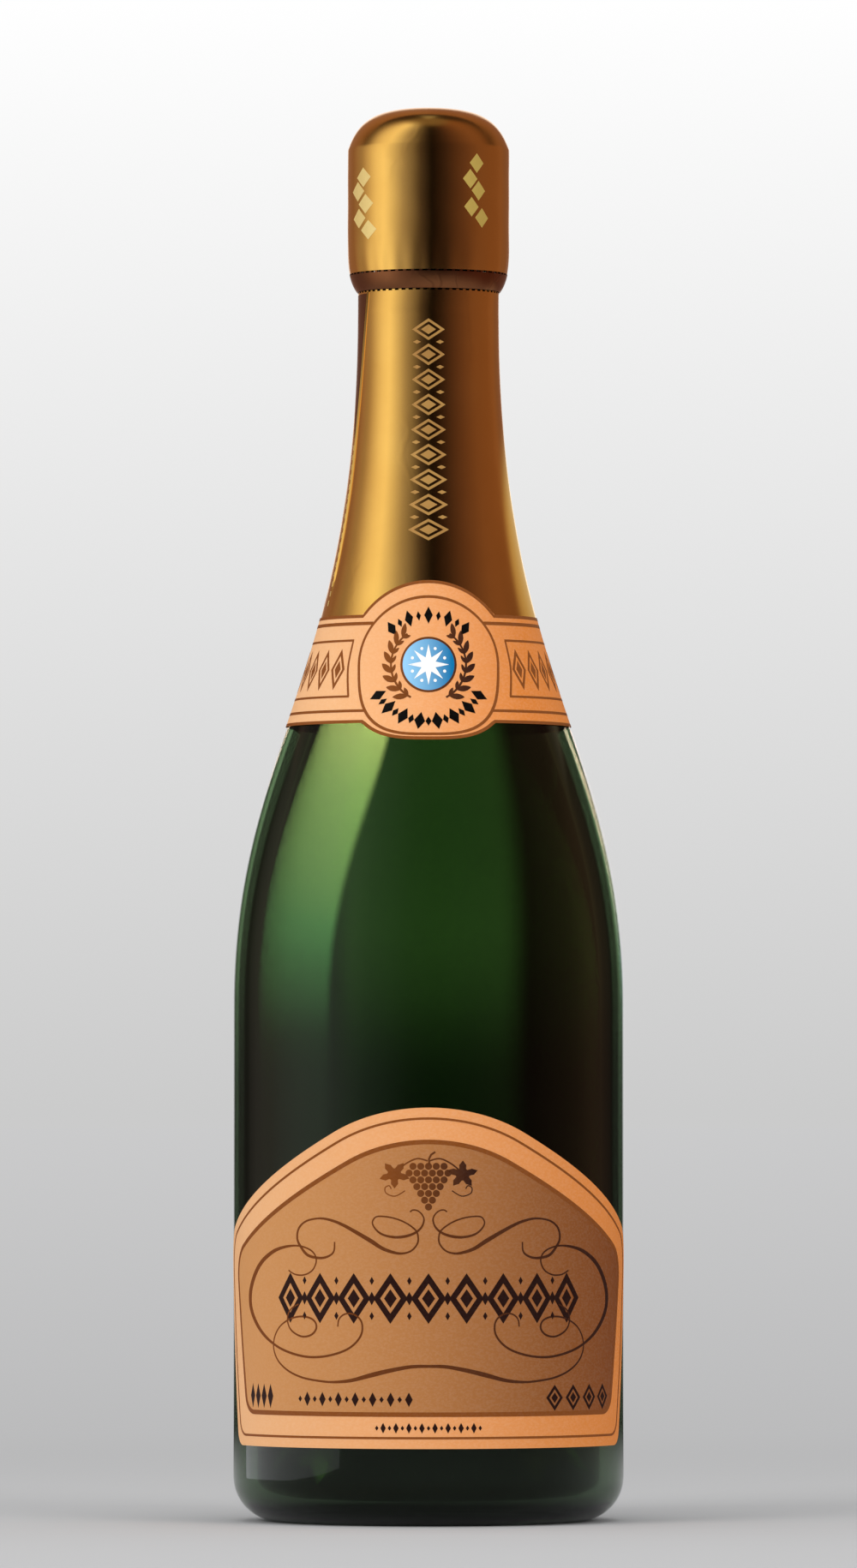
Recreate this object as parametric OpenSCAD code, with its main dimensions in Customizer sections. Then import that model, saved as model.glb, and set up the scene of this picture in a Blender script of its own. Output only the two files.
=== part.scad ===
// Champagne bottle of 75 cl, full and dressed: green glass, wine, a wired mushroom cork,
// a foil capsule with a tear strip, a collar label and a front label.
// Millimetres. The bottle stands on z = 0 with its axis on Z, and the front label faces -Y.

/* [Glass body] */
// Outside diameter of the straight body
body_d = 88; // [84:0.5:92]
// Height where the shoulder begins
body_h = 116; // [104:1:124]
// Glass thickness of the body wall
wall = 5.3; // [3.8:0.1:6]
// Radius of the heel between wall and base
heel_r = 10; // [8:0.5:12]
// Height of the punt, the hollow under the base
punt_h = 32; // [22:1:38]
// Glass thickness over the punt
punt_wall = 6; // [4:0.5:8]
// Width of the flat ring that the bottle stands on
bearing_w = 4; // [3:0.5:6]

/* [Shoulder and neck] */
// Height from the start of the shoulder to the top of the neck
shoulder_h = 156.5; // [146:0.5:166]
// How far up the shoulder stays full
shoulder_pull = 59.5; // [50:0.5:66]
// How far down the neck stays slim
neck_pull = 84; // [74:0.5:92]
// Outside diameter of the neck
neck_d = 31.6; // [31:0.1:33]
// Inside diameter of the neck, below the bore
neck_bore_d = 20.4; // [19:0.2:22]

/* [Mouth] */
// Height from the top of the neck to the lip
finish_h = 23.5; // [22.5:0.1:25]
// Diameter of the bore that the cork fits
mouth_d = 17.5; // [17:0.1:18.5]
// Length of the straight bore
bore_l = 26; // [25:0.5:30]
// Diameter of the ring that the wire cage is tied under
ring_d = 30.4; // [29.8:0.1:30.6]
// Height of that ring
ring_h = 4.2; // [3.4:0.1:4.6]
// Height of the ring's lower edge above the top of the neck
ring_rise = 8.5; // [8.3:0.1:9]
// Diameter of the groove below the ring
groove_d = 27.8; // [27.2:0.1:28.2]
// Diameter of the crown bead at the mouth
crown_d = 28.6; // [27.6:0.1:29]
// Height of the crown bead with its rounded edges
crown_h = 5; // [4:0.1:5.6]

/* [Wine] */
// Depth of the wine's surface below the lip
fill_depth = 79; // [66:1:92]

/* [Cork] */
// Diameter of the cork's head
cork_head_d = 30.2; // [29.4:0.1:30.4]
// Height of the head above the lip
cork_head_h = 20; // [18.5:0.1:20.2]
// Radius of the head's top edge
cork_edge_r = 5; // [4:0.1:5.5]
// Length of cork inside the bore
cork_l = 25; // [20:0.5:25]
// Thickness of each natural cork disc at the wine end
disc_h = 5.5; // [4:0.5:7]
// Radial clearance between cork and bore
cork_gap = 0.05; // [0.03:0.01:0.1]

/* [Wire cage] */
// Diameter of the frame wire
wire_d = 0.7; // [0.6:0.02:0.74]
// Diameter of the belt wire and its loop
belt_d = 0.6; // [0.5:0.02:0.64]
// Number of legs
legs = 4; // [4:1:4]
// Full turns of twist in each leg
leg_turns = 5; // [3:1:6]
// Length of the pull loop from its fold
loop_l = 10.5; // [9:0.1:10.8]
// Width of the pull loop
loop_w = 6.4; // [5:0.1:7]
// Thickness of the tinplate cap
cap_t = 0.25; // [0.2:0.01:0.3]
// Height of the cap's dome over the cork
cap_dome = 0.8; // [0.5:0.05:0.9]

/* [Foil] */
// Thickness of the capsule foil
foil_t = 0.15; // [0.1:0.01:0.18]
// Outside diameter of the hood over the cork
hood_d = 36.6; // [36.4:0.1:38]
// Outside diameter of the hood at its torn edge
hood_lip_d = 35.7; // [35.6:0.05:36.2]
// Room between the cage's cap and the middle of the hood's top
hood_room = 2.2; // [2:0.1:3]
// Height of the hood's rounded top
hood_top_h = 9.6; // [9.2:0.1:10.4]
// Height of the tear strip
strip_h = 4.2; // [4:0.1:5]
// Height of the tear line above the groove's top
tear_rise = 0.2; // [0:0.05:0.3]
// Width of the perforated slits
slit_w = 0.35; // [0.25:0.05:0.45]
// Number of bridges along each perforation
bridges = 60; // [48:2:72]
// Width of each bridge
bridge_w = 0.7; // [0.5:0.05:0.9]
// Length of the pull tab round the strip
tab_l = 11; // [8:0.5:14]

/* [Labels] */
// Thickness of the label paper
paper_t = 0.12; // [0.08:0.01:0.18]
// Height of the front label's lower edge
label_z = 17.4; // [14:0.2:20]
// Full height of the front label
label_h = 75.6; // [66:0.2:82]
// Width of the front label's foot, measured flat
label_foot_w = 115; // [100:1:118]
// Outward lean of the label's sides, in degrees
label_lean = 12; // [4:0.1:13]
// Slope of the label's upper edges, in degrees
label_slope = 28; // [22:1:32]
// Radius of the arch at the label's top
label_arch_r = 47; // [36:1:54]
// Radius of the label's upper corners
label_corner_r = 8; // [5:0.5:11]
// Radius of the label's lower corners
label_foot_r = 4; // [2:0.5:6]
// Height of the collar band's middle above the shoulder's start
collar_rise = 75.2; // [70:0.2:80]
// Height of the collar band
collar_h = 24.5; // [20:0.5:28]
// Half width of the collar's medallion, which is also its upper radius
medal_r = 18.1; // [16:0.1:20]
// Depth of the medallion below its middle
medal_drop = 17.9; // [16:0.1:20]
// Squareness of the medallion's lower half, where 2 is round
medal_power = 3.2; // [2:0.1:4]
// Rise of the medallion's middle above the band's middle
medal_rise = 1.8; // [0:0.1:3]

/* [Hidden] */

$fn = 128;
curve_n = 40;         // straight steps along the shoulder
small_n = 8;          // straight steps along a small curve
skin_gap = 0.02;      // between the glass, the foil and the paper that lie on each other
wine_gap = 0.05;      // between the wine and the glass
touch_gap = 0.05;     // between pieces that sit on each other and come apart
cage_gap = 0.08;      // between the wire and what it passes
axis_reach = 0.6;     // share of the punt's radius that stays domed
taper_h = 8;          // height over which the neck narrows to the bore
tube_sides = 6;       // sides of a swept wire

body_r = body_d / 2;
neck_r = neck_d / 2;
neck_z = body_h + shoulder_h;
lip_z = neck_z + finish_h;
bore_z = lip_z - bore_l;
ring_z = neck_z + ring_rise;
ring_r = ring_d / 2;
groove_r = groove_d / 2;
crown_r = crown_d / 2;
stand_r = body_r - heel_r;
punt_r = stand_r - bearing_w;
collar_z = body_h + collar_rise;

function bezier(a, b, c, d, n) =
    [for (i = [0:n]) let (t = i / n, s = 1 - t)
        s * s * s * a + 3 * s * s * t * b + 3 * s * t * t * c + t * t * t * d];
function arc(c, r, from, to, n) =
    [for (i = [0:n]) let (a = from + (to - from) * i / n) c + r * [cos(a), sin(a)]];
function backwards(p) = [for (i = [len(p) - 1:-1:0]) p[i]];
function unit(v) = v / norm(v);
function mixed(a, b, t) = a + (b - a) * t;
function eased(t) = t * t * (3 - 2 * t);
function turned(p, a) = [p.x * cos(a) - p.y * sin(a), p.x * sin(a) + p.y * cos(a), p.z];

// The shoulder and neck as [radius, height] points, pushed out by a gap.
function shoulder(gap) =
    bezier([body_r + gap, body_h], [body_r + gap, body_h + shoulder_pull],
           [neck_r + gap, neck_z - neck_pull], [neck_r + gap, neck_z], curve_n);

// The mouth's outside, from the top of the neck to the rim of the bore.
function finish() = concat(
    bezier([neck_r, neck_z], [neck_r, neck_z + 2], [groove_r, neck_z + 2],
           [groove_r, neck_z + 4], small_n),
    [[groove_r, ring_z], [ring_r - 0.3, ring_z + 0.4], [ring_r, ring_z + 0.8]],
    arc([ring_r - 1, ring_z + ring_h - 1], 1, 0, 80, small_n),
    [[crown_r - 0.9, ring_z + ring_h + 1.4], [crown_r - 0.9, lip_z - crown_h - 0.8]],
    arc([crown_r - 1, lip_z - crown_h + 1], 1, -60, 0, small_n),
    arc([crown_r - 2, lip_z - 2], 2, 0, 90, small_n),
    arc([mouth_d / 2 + 0.8, lip_z - 0.8], 0.8, 90, 180, small_n));

// The inside of the glass, from the bore down to the axis over the punt.
function inside(gap) = concat(
    [[mouth_d / 2 - gap, bore_z]],
    backwards(bezier([body_r - wall - gap, body_h],
                     [body_r - wall - gap, body_h + shoulder_pull - wall / 2],
                     [neck_bore_d / 2 - gap, neck_z - neck_pull],
                     [neck_bore_d / 2 - gap, bore_z - taper_h], curve_n)),
    arc([stand_r, heel_r], heel_r - wall - gap, 0, -90, small_n),
    backwards(bezier([0, punt_h + punt_wall + gap],
                     [punt_r * axis_reach, punt_h + punt_wall + gap],
                     [punt_r - 2, wall + gap], [stand_r - 1, wall + gap], 2 * small_n)));

module glass_bottle() {
    color([0.07, 0.2, 0.06, 0.6])
        rotate_extrude()
            polygon(concat(
                bezier([0, punt_h], [punt_r * axis_reach, punt_h], [punt_r - 7, 3],
                       [punt_r, 0], 2 * small_n),
                [[stand_r, 0]],
                arc([stand_r, heel_r], heel_r, -90, 0, 2 * small_n),
                shoulder(0), finish(), inside(0)));
}

module wine() {
    color([0.75, 0.62, 0.2, 0.7])
        intersection() {
            rotate_extrude() polygon(concat([[0, bore_z]], inside(wine_gap)));
            cylinder(h = lip_z - fill_depth, r = body_r);
        }
}

// The cork: an agglomerate body whose head stands on the lip, and two natural discs.
cork_r = mouth_d / 2 - cork_gap;
cork_top = lip_z + cork_head_h;
cork_end = lip_z - cork_l;
head_r = cork_head_d / 2;
edge_c = [head_r - cork_edge_r, cork_top - cork_edge_r];

module cork_body() {
    color([0.79, 0.62, 0.42])
        rotate_extrude()
            polygon(concat(
                [[0, cork_end + 2 * disc_h], [cork_r, cork_end + 2 * disc_h],
                 [cork_r, lip_z + touch_gap]],
                bezier([crown_r - 2, lip_z + touch_gap], [crown_r, lip_z + touch_gap],
                       [head_r, lip_z + 1.5], [head_r, lip_z + 4], small_n),
                arc(edge_c, cork_edge_r, 0, 90, small_n),
                [[0, cork_top]]));
}

module cork_disc(z, chamfer) {
    color([0.85, 0.68, 0.47])
        translate([0, 0, z])
            rotate_extrude()
                polygon([[0, 0], [cork_r - chamfer, 0], [cork_r, chamfer], [cork_r, disc_h],
                         [0, disc_h]]);
}

// Sweeps a round wire along the points. Each ring is turned to face away from the hub.
function ring_at(p, dir, hub, r) =
    let (side = unit(cross(dir, p - hub)), out = cross(side, dir))
    [for (k = [0:tube_sides - 1]) let (a = 360 * k / tube_sides)
        p + r * (cos(a) * out + sin(a) * side)];

module wire(path, d, hub, closed = false) {
    n = len(path);
    rings = [for (i = [0:n - 1])
        let (before = closed ? path[(i + n - 1) % n] : path[max(i - 1, 0)],
             after = closed ? path[(i + 1) % n] : path[min(i + 1, n - 1)])
        ring_at(path[i], unit(after - before), hub, d / 2)];
    points = [for (ring = rings) each ring];
    spans = closed ? n : n - 1;
    walls = [for (i = [0:spans - 1], k = [0:tube_sides - 1])
        let (a = i * tube_sides, b = ((i + 1) % n) * tube_sides, l = (k + 1) % tube_sides)
        each [[a + k, b + k, b + l], [a + k, b + l, a + l]]];
    ends = closed ? [] : [[for (k = [0:tube_sides - 1]) k],
                          [for (k = [tube_sides - 1:-1:0]) (n - 1) * tube_sides + k]];
    polyhedron(points, concat(walls, ends));
}

// The cage: each leg is a twisted pair that ends in an eye round the belt.
belt_z = ring_z - 0.55;
eye_r = ring_r + cage_gap + wire_d / 2 + (belt_d + wire_d) / 2 + skin_gap;
eye_bend = (belt_d + wire_d) / 2 + skin_gap;
pair_half = wire_d / 2 + 0.015;
leg_top_z = edge_c.y - 2;
leg_top_r = head_r + cage_gap + pair_half + wire_d / 2;
crest_r = cork_edge_r + 0.1 + cap_t + skin_gap + wire_d / 2;
crown_wire_r = edge_c.x + 1.45;
crest_turn = acos(1.45 / crest_r);
corner_turn = 9;
leg_n = 8 * leg_turns;
cage_hub = [0, 0, lip_z + 4];

function leg_point(t, side) =
    let (z = mixed(belt_z + 0.6, leg_top_z, t),
         r = mixed(eye_r, leg_top_r, t),
         half = mixed(eye_bend, pair_half, eased(min(1, t * 7))),
         phase = (360 * leg_turns + 90) * max(0, (t - 0.06) / 0.94) + (side > 0 ? 0 : 180))
    [r + half * cos(phase), half * sin(phase), z];
function crest_point(t, side) =
    let (a = crest_turn * sin(90 * t),
         lead = side * (atan(pair_half / leg_top_r) + corner_turn * (1 - cos(90 * t))),
         r = edge_c.x + crest_r * cos(a))
    turned([r, 0, edge_c.y + crest_r * sin(a)], lead);
function strand(side) = concat(
    [for (i = [0:3]) let (a = -90 + side * 90 * i / 3)
        [eye_r + eye_bend * cos(a), 0, belt_z + eye_bend * sin(a)]],
    [for (i = [0:leg_n]) leg_point(i / leg_n, side)],
    [for (i = [0:small_n]) crest_point(i / small_n, side)]);
function turned_all(path, a) = [for (p = path) turned(p, a)];
function crown_arc(from, to) =
    [for (i = [1:5]) turned([crown_wire_r, 0, edge_c.y + crest_r * sin(crest_turn)],
                            mixed(from, to, i / 6))];

module cage_frame() {
    pitch = 360 / legs;
    lead = corner_turn + atan(pair_half / leg_top_r);
    color("silver")
        for (i = [0:legs - 1])
            rotate(pitch * (i + 0.5))
                wire(concat(strand(1), crown_arc(lead, pitch - lead),
                            backwards(turned_all(strand(-1), pitch))), wire_d, cage_hub);
}

// The belt dips into the groove between the legs, and carries the loop at the front.
belt_in_r = groove_r + belt_d / 2 + 0.15;
fold_r = ring_r + belt_d + 0.15;
fold_z = belt_z + 0.15;
stub_end = 0.4;       // room between the belt's stub and the fold of the loop

module cage_belt() {
    path = [for (i = [0:95]) let (a = 3.75 * i)
        (mixed(belt_in_r, eye_r, (1 - cos(legs * a)) / 2)) * [cos(a), sin(a), 0]
            + [0, 0, belt_z]];
    color("silver") {
        wire(path, belt_d, [0, 0, belt_z - 100], closed = true);
        translate([0, -belt_in_r - belt_d / 4, belt_z])
            rotate([90, 0, 0])
                cylinder(h = fold_r - stub_end - belt_in_r, d = belt_d, $fn = 24);
    }
}

loop_stem = 3;        // length of the twisted stem
stem_half = belt_d / 2 + 0.02;

function stem_point(t, side) =
    let (a = 360 * t + (side > 0 ? 0 : 180))
    [stem_half * cos(a), -fold_r - stem_half * sin(a), fold_z + mixed(0.45, loop_stem, t)];
function loop_side(side) = concat(
    [for (i = [0:small_n]) stem_point(i / small_n, side)],
    [for (i = [1:small_n])
        let (a = 90 * (i - 0.5) / small_n, w = loop_w / 2 - belt_d / 2,
             rise = loop_l - belt_d / 2 - loop_stem)
        [side * mixed(stem_half, w, sin(min(90, 1.6 * a))) * cos(max(0, a * 2 - 90)),
         -fold_r, fold_z + loop_stem + rise * (a < 45 ? a / 75 : 0.6 + 0.4 * sin(2 * a - 90))]]);

module cage_loop() {
    color("silver")
        wire(concat(loop_side(1), backwards(loop_side(-1))), belt_d,
             [0, -1000, fold_z + loop_l / 2]);
}

// The tinplate cap follows the cork's top edge, and is domed in the middle.
module cage_cap() {
    under = 0.1;
    low = 38;
    high = 78;
    dome = bezier([0, cork_top + cap_dome], [edge_c.x * 0.6, cork_top + cap_dome],
                  [edge_c.x - 1, cork_top + under],
                  edge_c + (cork_edge_r + under) * [cos(high), sin(high)], small_n);
    color([0.79, 0.6, 0.3])
        rotate_extrude()
            polygon(concat(
                dome, arc(edge_c, cork_edge_r + under, high, low, small_n),
                arc(edge_c, cork_edge_r + under + cap_t, low, high, small_n),
                backwards([for (p = dome) p + [0, cap_t]])));
}

// The foil: a hood of skirt and top, the tear strip with its tab, and the sleeve below.
tear_z = ring_z + tear_rise;
strip_z = tear_z - strip_h;
hood_r = hood_d / 2;
lip_r = hood_lip_d / 2;
sleeve_r = neck_r + skin_gap + foil_t;
hood_z = cork_top + cap_dome + hood_room;
side_z = hood_z - hood_top_h;

// The strip's outside as [radius, height] points, from the sleeve to the hood.
function strip_side(gap) =
    bezier([sleeve_r + gap, strip_z], [mixed(sleeve_r, lip_r, 0.5) + gap, strip_z + strip_h * 0.25],
           [lip_r - 0.3 + gap, tear_z - strip_h * 0.35], [lip_r + gap, tear_z], small_n);

module slab(z0, z1, r) {
    translate([0, 0, z0]) cylinder(h = z1 - z0, r = r);
}

// Bridges of foil across a slit, rooted in the piece that they belong to.
module perforation(z, r, h) {
    turn = bridge_w / r * 180 / PI;
    for (i = [0:bridges - 1])
        rotate(360 * i / bridges)
            rotate_extrude(angle = turn)
                translate([r - foil_t + 0.02, z - h]) square([foil_t - 0.04, 2 * h]);
}

module hood_skirt() {
    side = concat(
        bezier([lip_r, tear_z + slit_w / 2], [hood_r - 0.1, tear_z + 2], [hood_r, tear_z + 4],
               [hood_r, tear_z + 6], small_n),
        [[hood_r, side_z]]);
    color([0.66, 0.4, 0.14])
        rotate_extrude()
            polygon(concat([for (p = side) p - [foil_t, 0]], backwards(side)));
}

module hood_top() {
    tuck = 2;
    crown = bezier([hood_r, side_z], [hood_r - 2.4, hood_z - 2.2], [hood_r * 0.62, hood_z],
                   [0, hood_z], 3 * small_n);
    color([0.66, 0.4, 0.14])
        rotate_extrude()
            polygon(concat(
                crown, backwards([for (p = crown) p - [min(p.x, foil_t), foil_t]]),
                [[hood_r - 2 * foil_t - skin_gap, side_z - foil_t],
                 [hood_r - 2 * foil_t - skin_gap, side_z - tuck],
                 [hood_r - foil_t - skin_gap, side_z - tuck],
                 [hood_r - foil_t - skin_gap, side_z - skin_gap],
                 [hood_r - foil_t - skin_gap, side_z]]));
}

module tear_strip() {
    side = strip_side(0);
    low = strip_z + slit_w / 2;
    high = tear_z - slit_w / 2;
    color([0.35, 0.18, 0.09]) {
        intersection() {
            rotate_extrude()
                polygon(concat([for (p = side) p - [foil_t, 0]], backwards(side)));
            slab(low, high, hood_r);
        }
        perforation(high, lip_r - 0.01, slit_w - skin_gap);
    }
}

// The tab lies on the back of the strip and folds out about its root.
tab_turn = tab_l / lip_r * 180 / PI;
tab_margin = 0.8;

module tear_tab() {
    side = strip_side(touch_gap + foil_t);
    color([0.78, 0.52, 0.22])
        intersection() {
            rotate(90)
                rotate_extrude(angle = tab_turn)
                    polygon(concat([for (p = side) p - [foil_t, 0]], backwards(side)));
            slab(strip_z + tab_margin, tear_z - tab_margin, hood_r);
        }
}

module foil_sleeve() {
    path = concat(shoulder(skin_gap), [[neck_r + skin_gap, strip_z - slit_w / 2]]);
    color([0.66, 0.4, 0.14]) {
        intersection() {
            rotate_extrude()
                polygon(concat(path, backwards([for (p = path) p + [foil_t, 0]])));
            slab(collar_z, strip_z, body_r);
        }
        perforation(strip_z - slit_w / 2, sleeve_r, slit_w - skin_gap);
    }
}

// The collar label: a band right round the shoulder, and a medallion at the front.
function medallion() = concat(
    [for (i = [0:3 * small_n]) let (a = 180 * i / (3 * small_n)) medal_r * [cos(a), sin(a)]],
    [for (i = [1:3 * small_n - 1]) let (a = 180 + 180 * i / (3 * small_n))
        [medal_r * sign(cos(a)) * pow(abs(cos(a)), 2 / medal_power),
         -medal_drop * pow(abs(sin(a)), 2 / medal_power)]]);

module collar_label() {
    under = shoulder(2 * skin_gap + foil_t);
    color([0.93, 0.66, 0.42])
        intersection() {
            rotate_extrude()
                polygon(concat(under, backwards([for (p = under) p + [paper_t, 0]])));
            union() {
                slab(collar_z - collar_h / 2, collar_z + collar_h / 2, body_r);
                translate([0, 0, collar_z + medal_rise])
                    rotate([90, 0, 0])
                        linear_extrude(body_r) polygon(medallion());
            }
        }
}

// Points that round the corner p between a and b.
function fillet(a, p, b, r, n) =
    let (u = unit(a - p), v = unit(b - p), half = acos(u * v) / 2,
         c = p + unit(u + v) * r / sin(half),
         from = p + u * r / tan(half) - c, to = p + v * r / tan(half) - c,
         start = atan2(from.y, from.x), sweep = atan2(cross(from, to), from * to))
    arc(c, r, start, start + sweep, n);

// The right half of the front label's outline, measured flat, from its foot to its top.
function label_half() =
    let (top = label_z + label_h,
         arch = [label_arch_r * sin(label_slope), top - label_arch_r * (1 - cos(label_slope))],
         foot = [label_foot_w / 2, label_z],
         lean = tan(label_lean),
         rise = tan(label_slope),
         z = (arch.y + (arch.x - foot.x + lean * label_z) * rise) / (1 + lean * rise),
         corner = [foot.x + (z - label_z) * lean, z])
    concat(fillet([0, label_z], foot, corner, label_foot_r, small_n),
           fillet(foot, corner, arch, label_corner_r, small_n),
           arc([0, top - label_arch_r], label_arch_r, 90 - label_slope, 90, small_n));

module front_label() {
    r = body_r + skin_gap;
    half = [for (p = label_half()) [r * sin(p.x / r * 180 / PI), p.y]];
    color([0.93, 0.66, 0.42])
        intersection() {
            difference() {
                slab(label_z, label_z + label_h, r + paper_t);
                slab(label_z - 1, label_z + label_h + 1, r);
            }
            rotate([90, 0, 0])
                linear_extrude(body_d)
                    polygon(concat(half, [for (p = backwards(half)) if (p.x > 0.001) [-p.x, p.y]]));
        }
}

glass_bottle();
wine();
cork_body();
cork_disc(cork_end + disc_h, 0);  // cork_disc_upper
cork_disc(cork_end, 0.6);  // cork_disc_lower
cage_frame();
cage_belt();
cage_cap();
cage_loop();
hood_skirt();
hood_top();
tear_strip();
tear_tab();
foil_sleeve();
collar_label();
front_label();
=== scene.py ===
"""A full, dressed bottle of sparkling wine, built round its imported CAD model."""

import logging
import math
from dataclasses import dataclass
from enum import Enum
from typing import Callable, Iterable, Sequence

import bpy
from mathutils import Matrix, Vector
from mathutils.geometry import delaunay_2d_cdt

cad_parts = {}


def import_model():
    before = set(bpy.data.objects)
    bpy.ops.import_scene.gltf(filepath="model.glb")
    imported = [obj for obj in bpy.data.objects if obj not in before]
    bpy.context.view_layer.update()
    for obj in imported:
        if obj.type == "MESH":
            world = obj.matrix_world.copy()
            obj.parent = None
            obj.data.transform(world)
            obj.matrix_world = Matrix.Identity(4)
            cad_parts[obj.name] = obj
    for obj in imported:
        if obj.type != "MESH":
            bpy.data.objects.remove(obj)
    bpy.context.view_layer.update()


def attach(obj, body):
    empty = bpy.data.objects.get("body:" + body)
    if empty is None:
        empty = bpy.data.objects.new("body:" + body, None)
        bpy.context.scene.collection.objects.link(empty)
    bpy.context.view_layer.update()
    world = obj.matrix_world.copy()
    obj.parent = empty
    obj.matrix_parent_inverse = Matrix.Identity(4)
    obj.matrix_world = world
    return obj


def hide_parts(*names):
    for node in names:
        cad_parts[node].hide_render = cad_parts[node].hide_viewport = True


LOG = logging.getLogger("bottle")
MM = 0.001

Pair = tuple[float, float]
Point = tuple[float, float, float]
Colour = tuple[float, float, float]
Shift = Callable[[float, float, float], float]
Surface = Callable[[float, float, float], Point]


class Body(Enum):
    """The CAD bodies that the pieces ride on."""

    BOTTLE = "bottle"
    CORK = "cork"
    CAGE = "cage"
    LOOP = "loop"
    HOOD = "hood"
    TAB = "tab"


def tint(code: str) -> Colour:
    """Linear red, green and blue of six hex digits, such as "84481A"."""
    values = [int(code[i : i + 2], 16) / 255 for i in (0, 2, 4)]
    return tuple(v / 12.92 if v < 0.04045 else ((v + 0.055) / 1.055) ** 2.4 for v in values)


# Points and curves, in millimetres


def polar(r: float, a: float, z: float) -> Point:
    """A point by its radius, its angle round Z in radians and its height."""
    return (r * math.cos(a), r * math.sin(a), z)


def turned(p: Point, degrees: float) -> Point:
    """Turns a point round Z."""
    c, k = math.cos(math.radians(degrees)), math.sin(math.radians(degrees))
    return (p[0] * c - p[1] * k, p[0] * k + p[1] * c, p[2])


def placed(points: Iterable[Pair], u: float, v: float, degrees: float) -> list[Pair]:
    """Turns flat points about 0, 0 and then moves them."""
    c, k = math.cos(math.radians(degrees)), math.sin(math.radians(degrees))
    return [(u + x * c - y * k, v + x * k + y * c) for x, y in points]


def sides(loop: Sequence) -> Iterable[tuple]:
    """Each member of a closed loop with the next one."""
    return zip(loop, [*loop[1:], loop[0]])


def split(loop: Sequence[Pair], steps: Callable[[Pair, Pair], float]) -> list[Pair]:
    """Cuts each side of a closed loop into equal parts.

    Args:
        loop: its corners.
        steps: the least number of parts for a side, from its two ends.

    Returns:
        The corners and the points between them.
    """
    out: list[Pair] = []
    for p, q in sides(loop):
        n = max(1, math.ceil(steps(p, q)))
        out += [(p[0] + (q[0] - p[0]) * i / n, p[1] + (q[1] - p[1]) * i / n) for i in range(n)]
    return out


def value_at(line: Sequence[Pair], at: float) -> float:
    """Value of a broken line at a place.

    Args:
        line: places, each with its value, in order.
        at: the place.

    Returns:
        The value there, or that of the nearer end.
    """
    for (t0, w0), (t1, w1) in zip(line, line[1:]):
        if t0 <= at <= t1:
            return w0 + (w1 - w0) * (at - t0) / (t1 - t0)
    return line[0][1] if at < line[0][0] else line[-1][1]


def bezier(a: Pair, b: Pair, c: Pair, d: Pair, n: int) -> list[Pair]:
    """Points along a cubic curve.

    Args:
        a: start.
        b: first handle.
        c: second handle.
        d: end.
        n: number of steps.

    Returns:
        n + 1 points.
    """
    out = []
    for t in (i / n for i in range(n + 1)):
        s = 1 - t
        out.append(tuple(s**3 * p + 3 * s * s * t * q + 3 * s * t * t * u + t**3 * v
                         for p, q, u, v in zip(a, b, c, d)))
    return out


def arc(c: Pair, r: float, start: float, stop: float, n: int) -> list[Pair]:
    """The n + 1 points of an arc about c with radius r, from start to stop in degrees."""
    angles = [math.radians(start + (stop - start) * i / n) for i in range(n + 1)]
    return [(c[0] + r * math.cos(a), c[1] + r * math.sin(a)) for a in angles]


def smooth_line(points: Sequence[Pair], per_span: int = 8) -> list[Pair]:
    """Draws a smooth curve through given points.

    Args:
        points: the points that the curve passes.
        per_span: steps between two of them.

    Returns:
        The curve's points.
    """
    ends = [points[0], *points, points[-1]]
    out = []
    for four in zip(ends, ends[1:], ends[2:], ends[3:]):
        for t in (k / per_span for k in range(per_span)):
            out.append(tuple(0.5 * (2 * q + (r - p) * t + (2 * p - 5 * q + 4 * r - s) * t * t
                                    + (3 * q - p - 3 * r + s) * t**3)
                             for p, q, r, s in zip(*four)))
    return [*out, tuple(points[-1])]


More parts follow.
